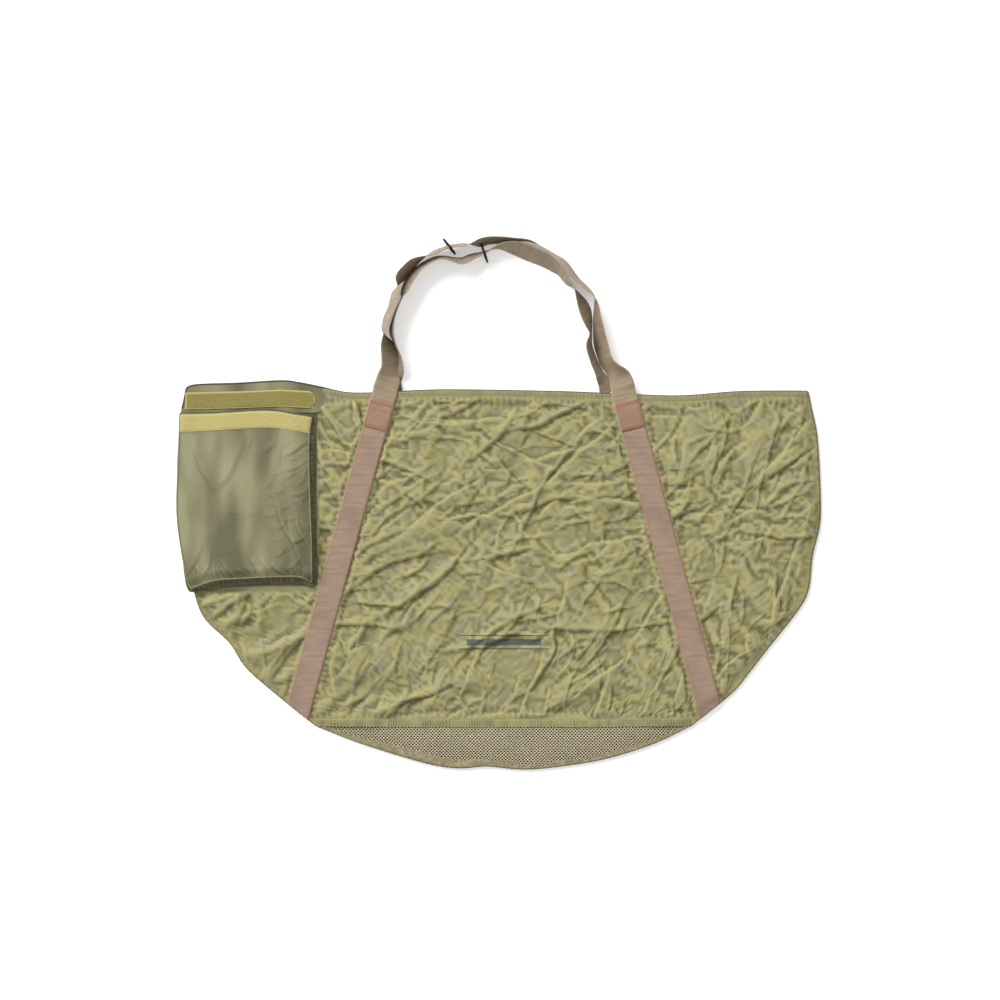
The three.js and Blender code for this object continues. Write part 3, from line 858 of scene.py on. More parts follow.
def panel_heights(face, rows, columns, seed, sim=None):
    """A panel's points after the simulation and the creases, kept between its neighbours."""
    middle = FRONT_Z if face == "front" else BACK_Z
    x, y = panel_plan(rows, columns)
    free = panel_freedom(face, x, y)
    rise = 0.8 * crumple(x, y, seed)
    if sim:
        sim_x, sim_y = panel_plan(*sim)
        sim_free = panel_freedom(face, sim_x, sim_y)
        flat = stacked(sim_x, sim_y, 0.0)
        start = stacked(sim_x, sim_y, 0.6 * sim_free * crumple(sim_x, sim_y, seed))
        shift = resample(simulate(start, sim_free < 0.05) - flat, rows, columns)
        rise = 0.75 * shift[..., 2] + 0.3 * crumple(x, y, seed)
        x, y = x + free * shift[..., 0], y + free * shift[..., 1]
    rise = rise + folds(x, y, seed + 80)
    rise = rise - 0.85 * blur(rise, 500)
    limit = np.where(rise > 0, HIGHEST_FOLD, DEEPEST_FOLD) if face == "front" else BACK_FOLD
    rise = limit * np.tanh(free * rise / limit)
    dip = (middle - EDGE_Z[face]) * (1 - smoothstep(off_edge(x, y) / EDGE_DIP))
    if face == "front":
        under_straps = sum(1 - smoothstep(off_strap(face, side, x, y) / 5) for side in ("left", "right"))
        strap_gap = STRAP_Z[face] - WEBBING_THICKNESS / 2 - CLOTH_THICKNESS / 2 - middle
        dip = dip - 0.8 * strap_gap * under_straps
    gathers = smoothstep(off_edge(x, y) / 8) * puckers(face, x, y) * (1 if face == "front" else 0.5)
    return stacked(x, y, middle + rise - dip + gathers)


# The materials turn these values into a painted highlight on crests and painted shade in hollows.
def creases_of(grid, spread):
    """How much each point of a grid stands above (towards 1) or below (towards -1) what is round it."""
    z = grid[..., 2]
    fine = np.clip((z - blur(z, 2)) / (0.16 * spread), -1, 1)
    return np.clip(0.85 * (z - blur(z, 14)) / spread + 0.4 * fine, -1, 1)


def height_of(grid, x, y):
    """The height of a panel's grid near some points, by looking up the nearest rows and columns."""
    rows, columns = grid.shape[:2]
    down = np.clip((MOUTH_Y - y) / (MOUTH_Y - SEAM_Y), 0, 1)
    left_x, right_x = edge_x("left", y), edge_x("right", y)
    right = np.clip((x - left_x) / (right_x - left_x), 0, 1)
    r, c = down * (rows - 1.001), right * (columns - 1.001)
    i, j = r.astype(int), c.astype(int)
    fr, fc = r - i, c - j
    z = grid[..., 2]
    above = z[i, j] * (1 - fc) + z[i, j + 1] * fc
    below = z[i + 1, j] * (1 - fc) + z[i + 1, j + 1] * fc
    return above * (1 - fr) + below * fr


front_grid = panel_heights("front", *FRONT_POINTS, 11, CLOTH_POINTS)
back_grid = panel_heights("back", *BACK_POINTS, 71)
front_panel = add_fine_sheet("front_panel_cloth", front_grid, CLOTH_THICKNESS, front_nylon,
                             creases_of(front_grid, 2.2))
back_panel = add_sheet("back_panel_cloth", back_grid, CLOTH_THICKNESS, back_nylon,
                       crease=creases_of(back_grid, 2.6))
for panel, body, node in ((front_panel, "front", "front_panel"), (back_panel, "root", "back_panel")):
    belongs(panel, body, "sling_nylon", node)


# ---- hems along the mouth, and the pleated seam above the netting ----

def add_hem(face, grid, body):
    """The mouth's turned and stitched edge, with its lower side sunk into the panel, and its dark binding."""
    x = np.linspace(edge_x("left", MOUTH_Y) + 1, edge_x("right", MOUTH_Y) - 1, 420)
    top = MOUTH_Y + mouth_rise(x)
    across = np.linspace(-1, 1, 11)[:, None]
    profile = 1 - np.abs(across) ** 4
    sunk = -1.3 * smoothstep((across + 0.4) / 1.4)
    y = top + 0.5 - HEM_WIDTH * (0.5 - 0.5 * across[::-1])
    gathers = (0.32 + 0.28 * wave(x, 50, 501)) * np.sin(x / 0.75 + 3 * wave(x, 14, 502))
    z = height_of(grid, x, y - mouth_rise(x)) + (HEM_CREST + gathers) * profile + sunk
    points = stacked(x, y, z)
    # The hem's crease values paint highlight on the crests of its gathers and shade between them, and a
    # little shade over it all.
    hem = add_sheet(f"mouth_hem_{face}_cloth", points, 1.0, hem_nylon, crease=gathers * 0.9 - 0.05)
    belongs(hem, body, "sling_nylon", f"mouth_hem_{face}")
    cord = add_tube(f"mouth_binding_{face}", stacked(x, top + 0.6, z[0] + 0.1), 0.9, binding)
    belongs(cord, body, "binding")
    rows = [stitch_line(points[row] + (0, 0, 0.6), 3.4) for row in (2, 6)]
    belongs(add_stitches(f"hem_stitches_{face}", rows, 2.4, 0.32, olive_thread), body, "sling_nylon")


def add_seam(face, grid, body):
    """The pleated band above the netting, with its upper side sunk into the panel."""
    x = np.linspace(edge_x("left", SEAM_Y) + 2, edge_x("right", SEAM_Y) - 2, 640)
    across = np.linspace(0, 1, 13)[:, None]
    y = SEAM_Y - 2 + SEAM_BAND * (1 - across) + 1.5 * wave(x, 90, 511)
    z = height_of(grid, x, np.maximum(y, SEAM_Y))
    lean = across * 1.5 * wave(x, 26, 515)
    strength = 0.7 + 0.3 * wave(x, 33, 513)
    pleats = strength * np.sin(x / 0.62 + 4 * wave(x, 15, 512) + lean) + 0.6 * wave(x, 8, 514)
    sewn = np.exp(-((across - 0.3) / 0.06) ** 2) + np.exp(-((across - 0.75) / 0.06) ** 2)
    z = z + 1.1 - 1.5 * smoothstep(1 - across / 0.22) + 0.75 * pleats * (1 - 0.6 * sewn) - 0.35 * sewn
    z = z if face == "front" else 2 * BACK_Z - z
    points = stacked(x, y, z)
    # These values paint highlight on the pleats' crests and shade along the sewn lines.
    crease = 0.75 * pleats * (1 - 0.5 * sewn) - 0.25 * sewn
    seam = add_sheet(f"seam_band_{face}", points, 0.8, hem_nylon, crease=crease)
    belongs(seam, body, "sling_nylon", f"seam_tape_{face}")
    if face == "front":
        rows = [stitch_line(points[row] + (0, 0, 0.3), 3.6) for row in (4, 9)]
        belongs(add_stitches("seam_stitches", rows, 2.6, 0.3, olive_thread), body, "sling_nylon")


for face, grid, body in (("front", front_grid, "front"), ("back", back_grid, "root")):
    add_hem(face, grid, body)
    add_seam(face, grid, body)


# ---- netting, and the gusset that joins the two faces round their edge ----

NET_FROM_X, NET_TO_X = -320, 335
NET_TO_Y = -440
NET_MATERIAL = {"front": netting, "back": back_netting_painted_shade}


def net_height(face, x, y):
    middle = FRONT_Z if face == "front" else BACK_Z
    down = 1 - smoothstep((y - base_y(x)) / 46)
    sag = 2.0 * facets(x, y, 34, 1.6, 12, 600) + 1.4 * noise(x, y, 48, 601)
    free = smoothstep((y - base_y(x)) / 14) * smoothstep((SEAM_Y - y) / 9)
    scale = 1.0 if face == "front" else 0.3
    return middle - 0.4 - (middle - EDGE_Z[face]) * down + scale * free * sag


def add_net(face, body):
    """Netting of diamond meshes: a lattice of four-sided cells, turned into strands."""
    half = NET_PITCH / 2
    shift = half if face == "back" else 0  # so that the two layers' openings aren't in line
    columns = np.arange(int(NET_FROM_X / half), int(NET_TO_X / half) + 1)
    rows = np.arange(int((SEAM_Y + 3) / half), int(NET_TO_Y / half) - 1, -1)
    index, vertices, faces = {}, [], []

    def vertex(i, j):
        if (i, j) not in index:
            x = i * half + shift + 0.7 * math.sin(j * 0.21)
            y = max(j * half, float(base_y(i * half)) + 0.8)
            index[i, j] = len(vertices)
            vertices.append((x, y))
        return index[i, j]

    for j in rows:
        for i in columns:
            y = j * half
            if (i + j) % 2 == 0 or y < base_y(i * half) + half * 0.6:
                continue
            if not edge_x("left", y) + 2 < i * half < edge_x("right", y) - 2:
                continue
            faces.append((vertex(i - 1, j), vertex(i, j - 1), vertex(i + 1, j), vertex(i, j + 1)))
    x, y = np.array(vertices).T
    z = net_height(face, x, np.maximum(y, base_y(x)))
    net = add_object(f"drain_net_{face}", stacked(x, y, z), faces, NET_MATERIAL[face])
    strands = net.modifiers.new("Strands", "WIREFRAME")
    strands.thickness = NET_STRAND[face] * MM
    strands.use_even_offset = False
    strands.use_boundary = True
    belongs(net, body, "drain_mesh", f"drain_mesh_{face}")


# places along the base, and how wide the netting's fold is there
FOLD_X = (-303, -200, -120, -60, 40, 180, 318)
FOLD_WIDTH = (4, 12, 17, 12, 7, 9, 4)


def add_base_roll():
    """The netting's folded edge along the base."""
    x, y = evenly(catmull_rom(BASE, 200), 3).T
    across = np.linspace(0, 1, 7)[:, None]
    width = np.interp(x, FOLD_X, FOLD_WIDTH) + 1.4 * noise(x, y, 30, 640)
    gathers = 0.3 * np.sin(x / 0.9) * np.sin(math.pi * across)
    y = y + 0.5 + (1 - across) * width
    x = np.broadcast_to(x, y.shape)
    z = net_height("front", x, np.maximum(y, base_y(x))) + 1.1 + gathers
    roll = add_sheet("net_fold", stacked(x, y, z), 0.8, net_cloth, crease=0.0)
    belongs(roll, "front", "drain_mesh")


GUSSET_LEVELS = 13


def add_gusset():
    """The strip that joins the edges of the two faces."""
    outline = np.concatenate([catmull_rom(LEFT_SIDE, 150), catmull_rom(BASE, 130)[1:],
                              catmull_rom(RIGHT_SIDE[::-1], 150)[1:]])
    outline = evenly(outline, 4)
    ahead = np.gradient(outline, axis=0)
    outwards = unit(stacked(ahead[:, 1], -ahead[:, 0]))
    level = np.linspace(0, 1, GUSSET_LEVELS)[:, None]
    low, high = EDGE_Z["back"] - 0.2, EDGE_Z["front"] + 0.2
    pucker = 0.4 * np.sin(along(outline) / 1.3)
    bulge = (1.6 + pucker) * np.sin(math.pi * level)
    place = outline + outwards * (bulge - 0.6)[..., None]
    grid = stacked(place[..., 0], place[..., 1], low + (high - low) * level)
    # The pucker values paint highlight and shade along the strip's small ripples.
    gusset = add_sheet("edge_gusset", grid[::-1], 0.6, side_nylon, uv=stacked(along(outline), level * 12),
                       crease=pucker)
    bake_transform(gusset)
    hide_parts("side_wall_left", "side_wall_right", "base_wall")


add_net("front", "front")
add_net("back", "root")
add_base_roll()
add_gusset()


# ---- webbing ----

SELVEDGE = (0.86, 0.1)  # where the firmer edge begins, as a share of the half width, and how soon it is full
STRAP_ACROSS = {side: np.array([1, -lean, 0]) / STRAP_NORM
                for side, lean in (("left", STRAP_SLOPE), ("right", -STRAP_SLOPE))}


def selvedge(share):
    return smoothstep((np.abs(share) - SELVEDGE[0]) / SELVEDGE[1])


def add_ribbon(name, middles, across, facing, half, half_thickness, material):
    """Webbing along some points. across and facing are its two directions at each point."""
    share = np.linspace(-1, 1, 13)
    grid = middles[:, None] + across[:, None] * (share[:, None] * half[:, None, None])
    thickness = 2 * half_thickness[:, None] * (1 - 0.35 * np.abs(share) ** 8)
    normals = np.broadcast_to(facing[:, None], grid.shape)
    uv = stacked(share * WEBBING_WIDTH / 2, along(middles)[:, None])
    return add_sheet(name, grid, thickness, material, uv=uv, rim=selvedge(share), normals=normals)


def strap_end(face, side, offset):
    """Where a line along a strap, an offset from its middle, meets the sling's outline or its seam."""
    across = STRAP_ACROSS[side]
    y = np.linspace(-280, -390, 221)
    at_x, at_y = strap_middle(face, side, y) + across[0] * offset, y + across[1] * offset
    inside = at_x > edge_x("left", at_y) + 0.6 if side == "left" else at_x < edge_x("right", at_y) - 0.6
    inside &= at_y > SEAM_Y + 1
    return y[np.argmin(inside)]


def add_strap(face, side, body):
    high = box_mm(f"body_strap_{face}_{side}")[1][1]
    across = STRAP_ACROSS[side]
    offsets = np.linspace(-1, 1, 11) * WEBBING_WIDTH / 2
    seed = 700 if side == "left" else 710
    uneven = 1 if face == "front" else 0.1
    rise = STRAP_Z[face] - EDGE_Z[face] - 2.2 if face == "front" else 0

    def line_at(offset, lift):
        """A line of points down the strap, from its top to the outline."""
        y = high + (strap_end(face, side, offset) - high) * np.linspace(0, 1, 190)
        height = (0.5 * wave(y, 60, seed) + 0.2 * wave(y, 17, seed + 1)) * uneven
        x, y = strap_middle(face, side, y) + across[0] * offset, y + across[1] * offset
        drop = rise * (1 - smoothstep(off_edge(x, y) / 22))
        return stacked(x, y, STRAP_Z[face] + height + lift - drop)

    grid = np.stack([line_at(offset, 0) for offset in offsets], 1)
    strap = add_sheet(f"strap_{face}_{side}", grid, WEBBING_THICKNESS, body_webbing,
                      uv=stacked(offsets, grid[..., 1]), rim=selvedge(offsets * 2 / WEBBING_WIDTH))
    belongs(strap, body, "body_webbing", f"body_strap_{face}_{side}")
    if face == "front":
        rows = [stitch_line(line_at(offset, WEBBING_THICKNESS / 2 + 0.15), 5.0) for offset in (-17.8, 17.8)]
        belongs(add_stitches(f"strap_stitches_{side}", rows, 3.2, 0.6, red_thread), body, "thread")


def add_box_stitch(face, side, body):
    """The dense red stitching that holds a hand loop's end: zigzags down it between two sewn bars."""
    high, low = MOUTH_Y - 19, LAP_END_Y + 2
    z = LAP_Z[face] + WEBBING_THICKNESS / 2 + 0.05 if face == "front" else BACK_Z + 0.9
    across = STRAP_ACROSS[side]
    rows = []

    def at(share, y):
        offset = share * (WEBBING_WIDTH / 2 - 1.5)
        return strap_middle(face, side, y) + across[0] * offset, y + across[1] * offset, z

    def row(start, end, pitch, zigzag=0.0):
        places, ways = stitch_line([start, end], pitch)
        turn = np.where(np.arange(len(places)) % 2, 1, -1)[:, None]
        rows.append((places, ways + zigzag * turn * across))

    for share in np.linspace(-0.88, 0.88, 9):
        row(at(share, low), at(share, high), 3.0, 1.8)
    for y in (low, low + 1.4, low + 2.8, high, high - 1.3, high - 2.6, high - 3.9):
        row(at(-1, y), at(1, y), 3.0)
    for share in (-1, 1):
        row(at(share, low), at(share, high), 3.2)
    thread = add_stitches(f"box_stitches_{face}_{side}", rows, 3.0, 0.45, red_thread)
    belongs(thread, body, "thread", f"box_stitch_{face}_{side}")


def ring_place(face):
    low, high = box_mm(f"weigh_ring_{face}")
    return (low + high) / 2, (high[2] - low[2]) / 2


LOOP_POINTS = 620
LAP_STEP = 3.0


def loop_lap(face, side, station):
    """A hand loop's sewn end, from its far end up to the mouth, as add_ribbon wants it."""
    sign = 1 if side == "left" else -1
    over = 1 if face == "front" else -1
    y = np.arange(LAP_END_Y, MOUTH_Y, LAP_STEP)
    x = station[0] + (strap_middle(face, side, y) - station[0]) * smoothstep((MOUTH_Y - y) / 12)
    height = LAP_Z[face] + (0.25 if face == "front" else 0.05) * wave(y, 20, 720)
    narrowing = (station[3] / 2 - WEBBING_WIDTH / 2) * smoothstep((y - MOUTH_Y + 30) / 30)
    lean = np.array([STRAP_SLOPE * sign, 1.0, 0]) / STRAP_NORM
    across = np.cross((0, 0, 1.0), lean) * sign * over
    flat = np.full(len(y), WEBBING_THICKNESS / 2)
    return (stacked(x, y, height), np.tile(across, (len(y), 1)), np.tile((0, 0, 1.0 * over), (len(y), 1)),
            WEBBING_WIDTH / 2 + narrowing, flat)


def loop_arch(face, stations):
    """A hand loop from the mouth over the arch and back, resting its lower edge on the ground."""
    ring = ring_place(face)[0]
    line = catmull_rom(stations, LOOP_POINTS)
    place, roll, width = line[:, :2], np.radians(line[:, 2]), line[:, 3]
    tangent = unit(np.gradient(place, axis=0))
    tangent[0] = (STRAP_SLOPE / STRAP_NORM, 1 / STRAP_NORM)
    tangent[-1] = (STRAP_SLOPE / STRAP_NORM, -1 / STRAP_NORM)
    near = np.exp(-((place[:, 0] - ring[0]) ** 2 + (place[:, 1] - ring[1]) ** 2) / GATHER_REACH ** 2)
    half = width * (1 - 0.45 * near) / 2
    half_thickness = WEBBING_THICKNESS * (1 + near) / 2
    up = np.array([0, 0, 1.0])
    outwards = stacked(-tangent[:, 1], tangent[:, 0], 0.0)
    cos, sin = np.cos(roll), np.sin(roll)
    across = outwards * cos[:, None] + up * sin[:, None]
    facing = -outwards * sin[:, None] + up * cos[:, None]
    start_lift = LAP_Z[face] - WEBBING_THICKNESS / 2 if face == "front" else 0.0
    standing = half * np.abs(sin) + half_thickness * np.abs(cos) + GROUND_CLEARANCE
    from_sling = (start_lift - GROUND_CLEARANCE) * (1 - smoothstep((place[:, 1] - MOUTH_Y) / LIFT_REACH))
    middles = stacked(place[:, 0], place[:, 1], standing + from_sling + near * RING_LIFT)
    return middles, across, facing, half, half_thickness


def add_hand_loop(face):
    """One piece of webbing: sewn down at its left end, twisting over the arch, sewn down at its right."""
    stations = LOOP_STATIONS[face]
    left, right = loop_lap(face, "left", stations[0]), loop_lap(face, "right", stations[-1])
    parts = zip(left, loop_arch(face, stations), right)
    ribbon = [np.concatenate([first, arch, last[::-1]]) for first, arch, last in parts]
    loop = add_ribbon(f"hand_loop_{face}_webbing", *ribbon, loop_webbing)
    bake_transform(loop)
    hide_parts(f"hand_loop_{face}", f"loop_end_{face}_left", f"loop_end_{face}_right")


RING_STEPS, RING_SIDES = 96, 16
WELD_ANGLE, WELD_REACH = 4.4, 0.07


def add_ring(face):
    """A closed ring of round wire that stands on its edge, with a slight bulge where it is welded."""
    centre, outer = ring_place(face)
    radius = outer - RING_WIRE_RADIUS
    angle = np.linspace(0, 2 * math.pi, RING_STEPS, endpoint=False)
    yaw = math.radians(90 + RING_YAW[face])
    flat = np.array([math.cos(yaw), math.sin(yaw), 0])
    away = np.cos(angle)[:, None] * flat + np.sin(angle)[:, None] * np.array([0, 0, 1.0])
    weld = 1 + 0.09 * np.exp(-((angle - WELD_ANGLE) / WELD_REACH) ** 2)
    cos, sin = circle(RING_SIDES)
    around = cos * away[:, None] + sin * np.cross(flat, (0, 0, 1.0))
    skin = (centre + radius * away)[:, None] + RING_WIRE_RADIUS * weld[:, None, None] * around
    faces = turned_over(tube_faces(RING_STEPS, RING_SIDES, True))
    ring = add_object(f"weigh_ring_{face}_metal", skin.reshape(-1, 3), faces, black_metal)
    belongs(ring, f"{face}_ring", "ring_metal", f"weigh_ring_{face}")


for face, body in (("front", "front"), ("back", "root")):
    for side in ("left", "right"):
        add_strap(face, side, body)
        add_box_stitch(face, side, body)
    add_hand_loop(face)
    add_ring(face)


# ---- the pouch ----

POUCH_LEFT = [(-524, 150), (-527, 60), (-528, -16), (-519, -84), (-507, -137)]
POUCH_RIGHT = [(-309, 150), (-314, 101), (-312, 3), (-309, -75), (-309, -140)]
POUCH_MOUTH = [(-528, 150), (-470, 151), (-405, 155), (-370, 155), (-340, 150), (-308, 145)]
POUCH_BOTTOM = [(-507, -137), (-464, -124), (-422, -121), (-335, -118), (-309, -128)]
POUCH_THICKNESS = 0.9
MOUTH_DEPTH, BOTTOM_DEPTH = 9.5, 22  # how deep the pouch is at its mouth and near its bottom
# the pouch's larger folds: x, y, the way they run in degrees, length, height, steep width, gentle width
POUCH_FOLDS = [
    (-487, 62, -66, 110, 2.6, 9, 22), (-440, 62, 62, 110, 2.4, 10, 22), (-372, 70, 80, 130, 2.4, 14, 30),
    (-350, -40, -66, 110, 2.2, 5, 12), (-336, -66, -72, 96, 2.4, 5, 10), (-323, -50, -62, 70, 1.8, 4, 9),
    (-332, 92, 38, 60, 2.6, 6, 12), (-330, 62, 30, 52, 1.8, 5, 10), (-326, 20, 24, 40, 1.2, 4, 8),
    (-500, -95, 62, 70, 2.0, 6, 12), (-478, -100, 70, 60, 1.8, 6, 12), (-447, -106, -52, 34, 2.2, 3, 8),
    (-398, -104, -50, 38, 2.2, 3, 8), (-384, -98, -48, 30, 1.6, 3, 7), (-361, -108, -36, 40, 1.8, 3, 7),
]


def pouch_plan(rows, columns):
    """The x and y of the pouch's front, from its mouth down to its bottom seam."""
    down, right = shares(rows, columns)
    left_line, right_line = catmull_rom(POUCH_LEFT, 200), catmull_rom(POUCH_RIGHT, 200)
    mouth, bottom = catmull_rom(POUCH_MOUTH, 80), catmull_rom(POUCH_BOTTOM, 80)
    level = POUCH_LEFT[0][1] + (POUCH_LEFT[-1][1] - POUCH_LEFT[0][1]) * down
    left_x = np.interp(-level, -left_line[:, 1], left_line[:, 0])
    right_x = np.interp(-level, -right_line[:, 1], right_line[:, 0])
    x = left_x + (right_x - left_x) * right
    high = np.interp(x, mouth[:, 0], mouth[:, 1])
    low = np.interp(x, bottom[:, 0], bottom[:, 1])
    return x, high + (low - high) * down, down, right


def pouch_folds(x, y):
    """The pouch's larger folds, its many small ones, and the gathers above its bottom seam."""
    wander = 2.0 * noise(x, y, 20, 806)
    height = np.zeros_like(x)
    for middle_x, middle_y, lean, length, lift, steep, gentle in POUCH_FOLDS:
        height += fold(x, y, (middle_x, middle_y), lean, length, lift, steep, gentle, 0.08 * length, wander)
    draws = np.random.default_rng(807)
    for _ in range(70):
        across = draws.random() ** 0.4
        middle = (POUCH_LEFT[0][0] + 212 * across, draws.uniform(-112, 105))
        lean = draws.normal(28, 30)
        height += fold(x, y, middle, lean, draws.uniform(14, 40), draws.uniform(0.5, 1.6) * across,
                       draws.uniform(2.5, 5), draws.uniform(5, 10), 3, wander)
    for middle_x in np.arange(POUCH_BOTTOM[0][0] + 12, POUCH_BOTTOM[-1][0], 7.5):
        middle = (middle_x + draws.normal(0, 2), draws.uniform(-117, -108))
        height += fold(x, y, middle, draws.normal(-58, 16), draws.uniform(12, 34), draws.uniform(0.7, 1.9),
                       draws.uniform(2.2, 3.4), draws.uniform(4, 7), 1, wander)
    return height


def pouch_lift(x, y, down, right):
    """The height of the pouch's front, with its soft and its pressed folds."""
    fill = POUCH_HIGH[2] + MOUTH_DEPTH + (BOTTOM_DEPTH - MOUTH_DEPTH) * smoothstep(down * 1.15)
    crown = 5.5 * (np.sin(math.pi * right) ** 0.7 - 1) * (0.35 + 0.65 * down)
    drop = -6 * smoothstep((down - 0.94) / 0.06)
    soft = 1.8 * noise(x, y * 0.4, 48, 801) + 0.8 * noise(x, y * 0.6, 22, 802)
    bunch = 3.0 * facets(x, y, 16, 1.3, 40, 805) * smoothstep(1 - np.hypot(x + 320, y + 112) / 30)
    bunch = bunch - 6 * smoothstep(1 - np.hypot(x + 309, y + 128) / 18)
    return fill + crown + drop + soft + (pouch_folds(x, y) + bunch) * smoothstep((down - 0.1) * 14)


def add_pouch():
    x, y, down, right = pouch_plan(211, 160)
    grid = stacked(x, y, pouch_lift(x, y, down, right))
    cover = add_sheet("pouch_cover_cloth", grid, POUCH_THICKNESS, pouch_nylon, crease=creases_of(grid, 1.8))
    belongs(cover, "pouch_cover", "pouch_nylon", "pouch_front")
    return grid


def add_pouch_piping(grid):
    edge = np.concatenate([grid[1:, 0], grid[-1, 1:], grid[-2:0:-1, -1]])
    line = evenly(edge, 2.5)
    path = line + outwards_of(line) * 0.8 + (0, 0, 0.3)
    piping = add_tube("pouch_piping_cord", path, 1.3, piping_nylon, 10)
    belongs(piping, "pouch_cover", "binding", "pouch_piping")


def add_pouch_gusset(grid):
    """The pouch's side and bottom strips, from the front's edge out and down to its back, in loose folds."""
    line = evenly(np.concatenate([grid[:-1, 0], grid[-1, :-1], grid[::-1, -1]]), 1.6)
    foot_z = POUCH_HIGH[2] + 0.4
    far = along(line)
    across = np.interp(line[:, 0], (-524, -505, -480, -330, -306), (2.5, 9, 15, 13, 8.5))
    bottom = smoothstep((-line[:, 1] - 70) / 45)
    reach = np.where(line[:, 0] < -420, 2.5, 8.5) * (1 - bottom) + across * bottom
    level = np.linspace(0, 1, 21)[:, None]
    loose = np.sin(math.pi * level)
    crinkle = 1.5 * facets(far, level * 50, 11, 1.3, 20, 830)
    tuck = 1.3 * np.sin(3 * math.pi * level)
    shift = reach * level + (crinkle + tuck) * loose
    height = foot_z + (line[:, 2] - 0.6 - foot_z) * (1 - level) ** 1.3
    bumps = 1.6 * facets(far, level * 40, 12, 1.0, -30, 840) + np.sin(far / 1.4) * 0.4
    place = line + outwards_of(line) * shift[..., None]
    points = stacked(place[..., 0], place[..., 1], height + bumps * loose)
    gusset = add_sheet("pouch_gusset_cloth", points, 0.7, gusset_nylon, uv=stacked(far, level * 40),
                       crease=creases_of(points, 2.0))
    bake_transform(gusset)
    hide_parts("pouch_gusset_left", "pouch_gusset_right", "pouch_gusset_bottom")


def add_pouch_back():
    down, right = shares(70, 60)
    y = POUCH_HIGH[1] + 2 + (POUCH_LOW[1] + 8 - POUCH_HIGH[1] - 2) * down
    left_x = np.maximum(edge_x("left", y) + 2, POUCH_LOW[0] - 4)
    x = left_x + (POUCH_HIGH[0] + 1 - left_x) * right
    grid = stacked(x, y, POUCH_LOW[2] + 0.7 + 0.3 * noise(x, y, 40, 850))
    back = add_sheet("pouch_back_cloth", grid, POUCH_THICKNESS, gusset_nylon, crease=0.0)
    belongs(back, "front", "pouch_nylon", "pouch_back")


def add_tape(name, grid, material, node, slot, body, seed):
    """A strip of hook or loop tape on a grid of points: woven selvedges with a raised pile between them."""
    across, ends = shares(*grid.shape[:2])
    inside = smoothstep((np.minimum(across, 1 - across) - 0.05) / 0.06)
    inside = inside * smoothstep((np.minimum(ends, 1 - ends) - 0.006) / 0.008)
    rough = np.random.default_rng(seed).uniform(0.5, 1, inside.shape)
    grid = grid.copy()
    grid[..., 2] += inside * (0.5 + 0.55 * rough)
    belongs(add_sheet(name, grid, 0.8, material, rim=1 - inside), body, slot, node)


LOOP_TAPE_ROWS = slice(2, 24)  # the rows of the pouch's front that its tape covers


def add_loop_tape(grid):
    """The soft tape along the pouch's mouth, and the mouth's bound edge."""
    fine = resample(grid[LOOP_TAPE_ROWS], 32, 240) + (0, 0, 0.8)
    add_tape("loop_tape_strip", fine, loop_tape, "loop_strip", "loop_tape", "pouch_cover", 861)
    lip = add_tube("pouch_mouth_edge", evenly(grid[0] + (0, 0, 0.1), 3), 1.1, gusset_nylon)
    belongs(lip, "pouch_cover", "pouch_nylon")


pouch_grid = add_pouch()
add_pouch_piping(pouch_grid)
add_pouch_gusset(pouch_grid)
add_pouch_back()
add_loop_tape(pouch_grid)


# ---- the flap ----

FLAP_TOP = [(-519, 186), (-503, 196), (-430, 199), (-360, 203), (-330, 200), (-290, 192), (-280, 190)]
FLAP_LEFT_TOP, FLAP_LEFT_ROOT, FLAP_RIGHT = -516, -524, -278
FLAP_ROUND = 30  # how large the round lower right corner is
FLAP_ROOT_Y = 150
HOOK_TAPE_X = (-517, -303)
HOOK_TAPE_MIDDLE = ((-520, -430, -360, -300), (169.5, 171.5, 174.5, 171.5))  # some x, and its middle's y
HOOK_TAPE_WIDTH = 28
HOOK_TAPE_ROUND = 12


def flap_grid():
    down, across = shares(44, 190)
    top = catmull_rom(FLAP_TOP, 160)
    left = FLAP_LEFT_TOP + (FLAP_LEFT_ROOT - FLAP_LEFT_TOP) * down
    x = left + (FLAP_RIGHT - left) * across
    top_y = np.interp(x, top[:, 0], top[:, 1])
    corner = np.clip((x - FLAP_RIGHT + FLAP_ROUND) / FLAP_ROUND, 0, 1)
    low_y = FLAP_ROOT_Y + FLAP_ROUND * (1 - np.sqrt(1 - 0.96 * corner ** 2))
    y = top_y + (low_y - top_y) * down
    height = FLAP_Z - 0.6 + 0.7 * noise(x, y, 45, 870) + 0.4 * noise(x, y, 18, 871)
    merge = smoothstep((x - FLAP_RIGHT + 26) / 22)
    return stacked(x, y, height + (FRONT_Z - 0.9 - height) * merge)


def add_flap(grid):
    flap = add_sheet("pouch_flap_cloth", grid, POUCH_THICKNESS, pouch_nylon, crease=creases_of(grid, 1.5))
    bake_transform(flap)
    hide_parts("pouch_flap")
    edge = np.concatenate([grid[34:0:-1, 0], grid[0, :-2]])
    trim = add_tube("flap_binding_cord", evenly(edge + (0, 0, 0.3), 3), 1.3, binding)
    belongs(trim, "flap", "binding", "flap_binding")


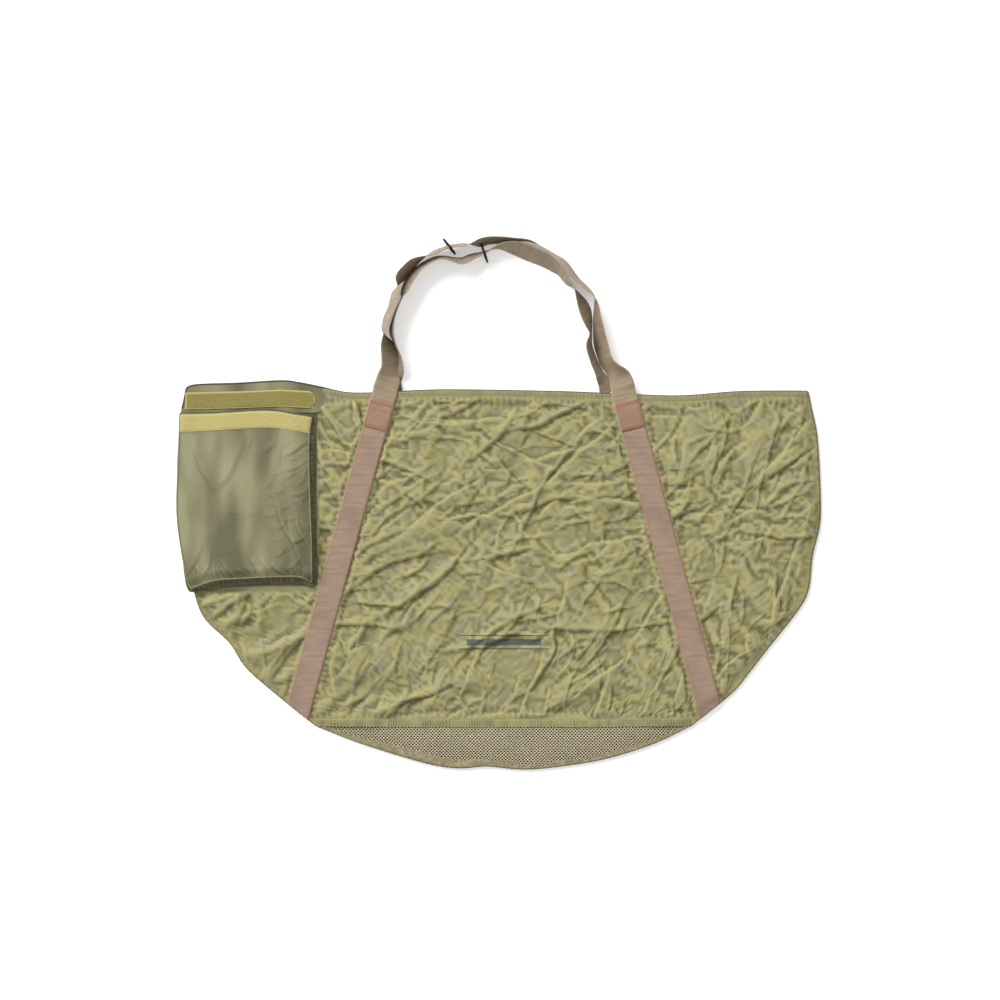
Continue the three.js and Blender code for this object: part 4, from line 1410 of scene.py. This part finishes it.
def add_hook_tape(grid):
    """The rough tape on the flap, with its right end cut round."""
    fine = resample(grid, 88, 380)
    down, right = shares(32, 240)
    x = HOOK_TAPE_X[0] + (HOOK_TAPE_X[1] - HOOK_TAPE_X[0]) * right
    corner = np.clip((x - HOOK_TAPE_X[1] + HOOK_TAPE_ROUND) / HOOK_TAPE_ROUND, 0, 1)
    half = HOOK_TAPE_WIDTH / 2 * np.sqrt(1 - 0.97 * corner ** 2)
    y = np.interp(x, *HOOK_TAPE_MIDDLE) + half * (1 - 2 * down)
    z = np.interp(x, fine[0, :, 0], fine[:, :, 2].max(0)) + 1.2
    add_tape("hook_tape_strip", stacked(x, y, z), hook_tape, "hook_strip", "hook_tape", "flap", 881)


flap_points = flap_grid()
add_flap(flap_points)
add_hook_tape(flap_points)


# ---- the camera, the floor and the light ----

CAMERA_HEIGHT = 3.9
PLANE_WIDTH = 1.65  # what the picture is wide, at the height of the sling, in metres
CAMERA_X, CAMERA_Y = 0.00165, 0.0066
SENSOR_WIDTH = 36
FLOOR_HALF = 6
FLOOR_GLOW = 0.3  # keeps the floor white under the raised hand loops


def place_in_scene(name, data):
    placed = bpy.data.objects.new(name, data)
    bpy.context.scene.collection.objects.link(placed)
    return placed


def add_camera():
    data = bpy.data.cameras.new("camera")
    data.sensor_width = SENSOR_WIDTH
    data.lens = SENSOR_WIDTH / PLANE_WIDTH * CAMERA_HEIGHT
    camera = place_in_scene("camera", data)
    camera.location = (CAMERA_X, CAMERA_Y, CAMERA_HEIGHT + FRONT_Z * MM)
    bpy.context.scene.camera = camera


def add_floor():
    mesh = bpy.data.meshes.new("floor")
    corners = [(x * FLOOR_HALF, y * FLOOR_HALF, 0) for x, y in ((-1, -1), (1, -1), (1, 1), (-1, 1))]
    mesh.from_pydata(corners, [], [(0, 1, 2, 3)])
    material = new_material("floor", 0.9, 0.1)
    inputs = shader_of(material).inputs
    inputs["Base Color"].default_value = (0.96, 0.96, 0.96, 1)
    inputs["Emission Color"].default_value = (1, 1, 1, 1)
    inputs["Emission Strength"].default_value = FLOOR_GLOW
    mesh.materials.append(material)
    place_in_scene("floor", mesh)


def add_light(name, place, size, power):
    """A square soft light that faces the sling."""
    data = bpy.data.lights.new(name, "AREA")
    data.shape = "SQUARE"
    data.size = size
    data.energy = power
    light = place_in_scene(name, data)
    light.location = place
    light.rotation_mode = "QUATERNION"
    light.rotation_quaternion = light.location.to_track_quat("Z", "Y")


def add_world(strength):
    world = bpy.data.worlds.new("world")
    world.use_nodes = True
    background = world.node_tree.nodes["Background"]
    background.inputs["Color"].default_value = (1, 1, 1, 1)
    background.inputs["Strength"].default_value = strength
    bpy.context.scene.world = world


add_camera()
add_floor()
add_world(0.55)
add_light("key", (-5.4, 6.4, 7.2), 6.0, 1340)
add_light("fill", (5.0, -3.2, 6.0), 6.0, 60)
bpy.context.scene.view_settings.view_transform = "Standard"
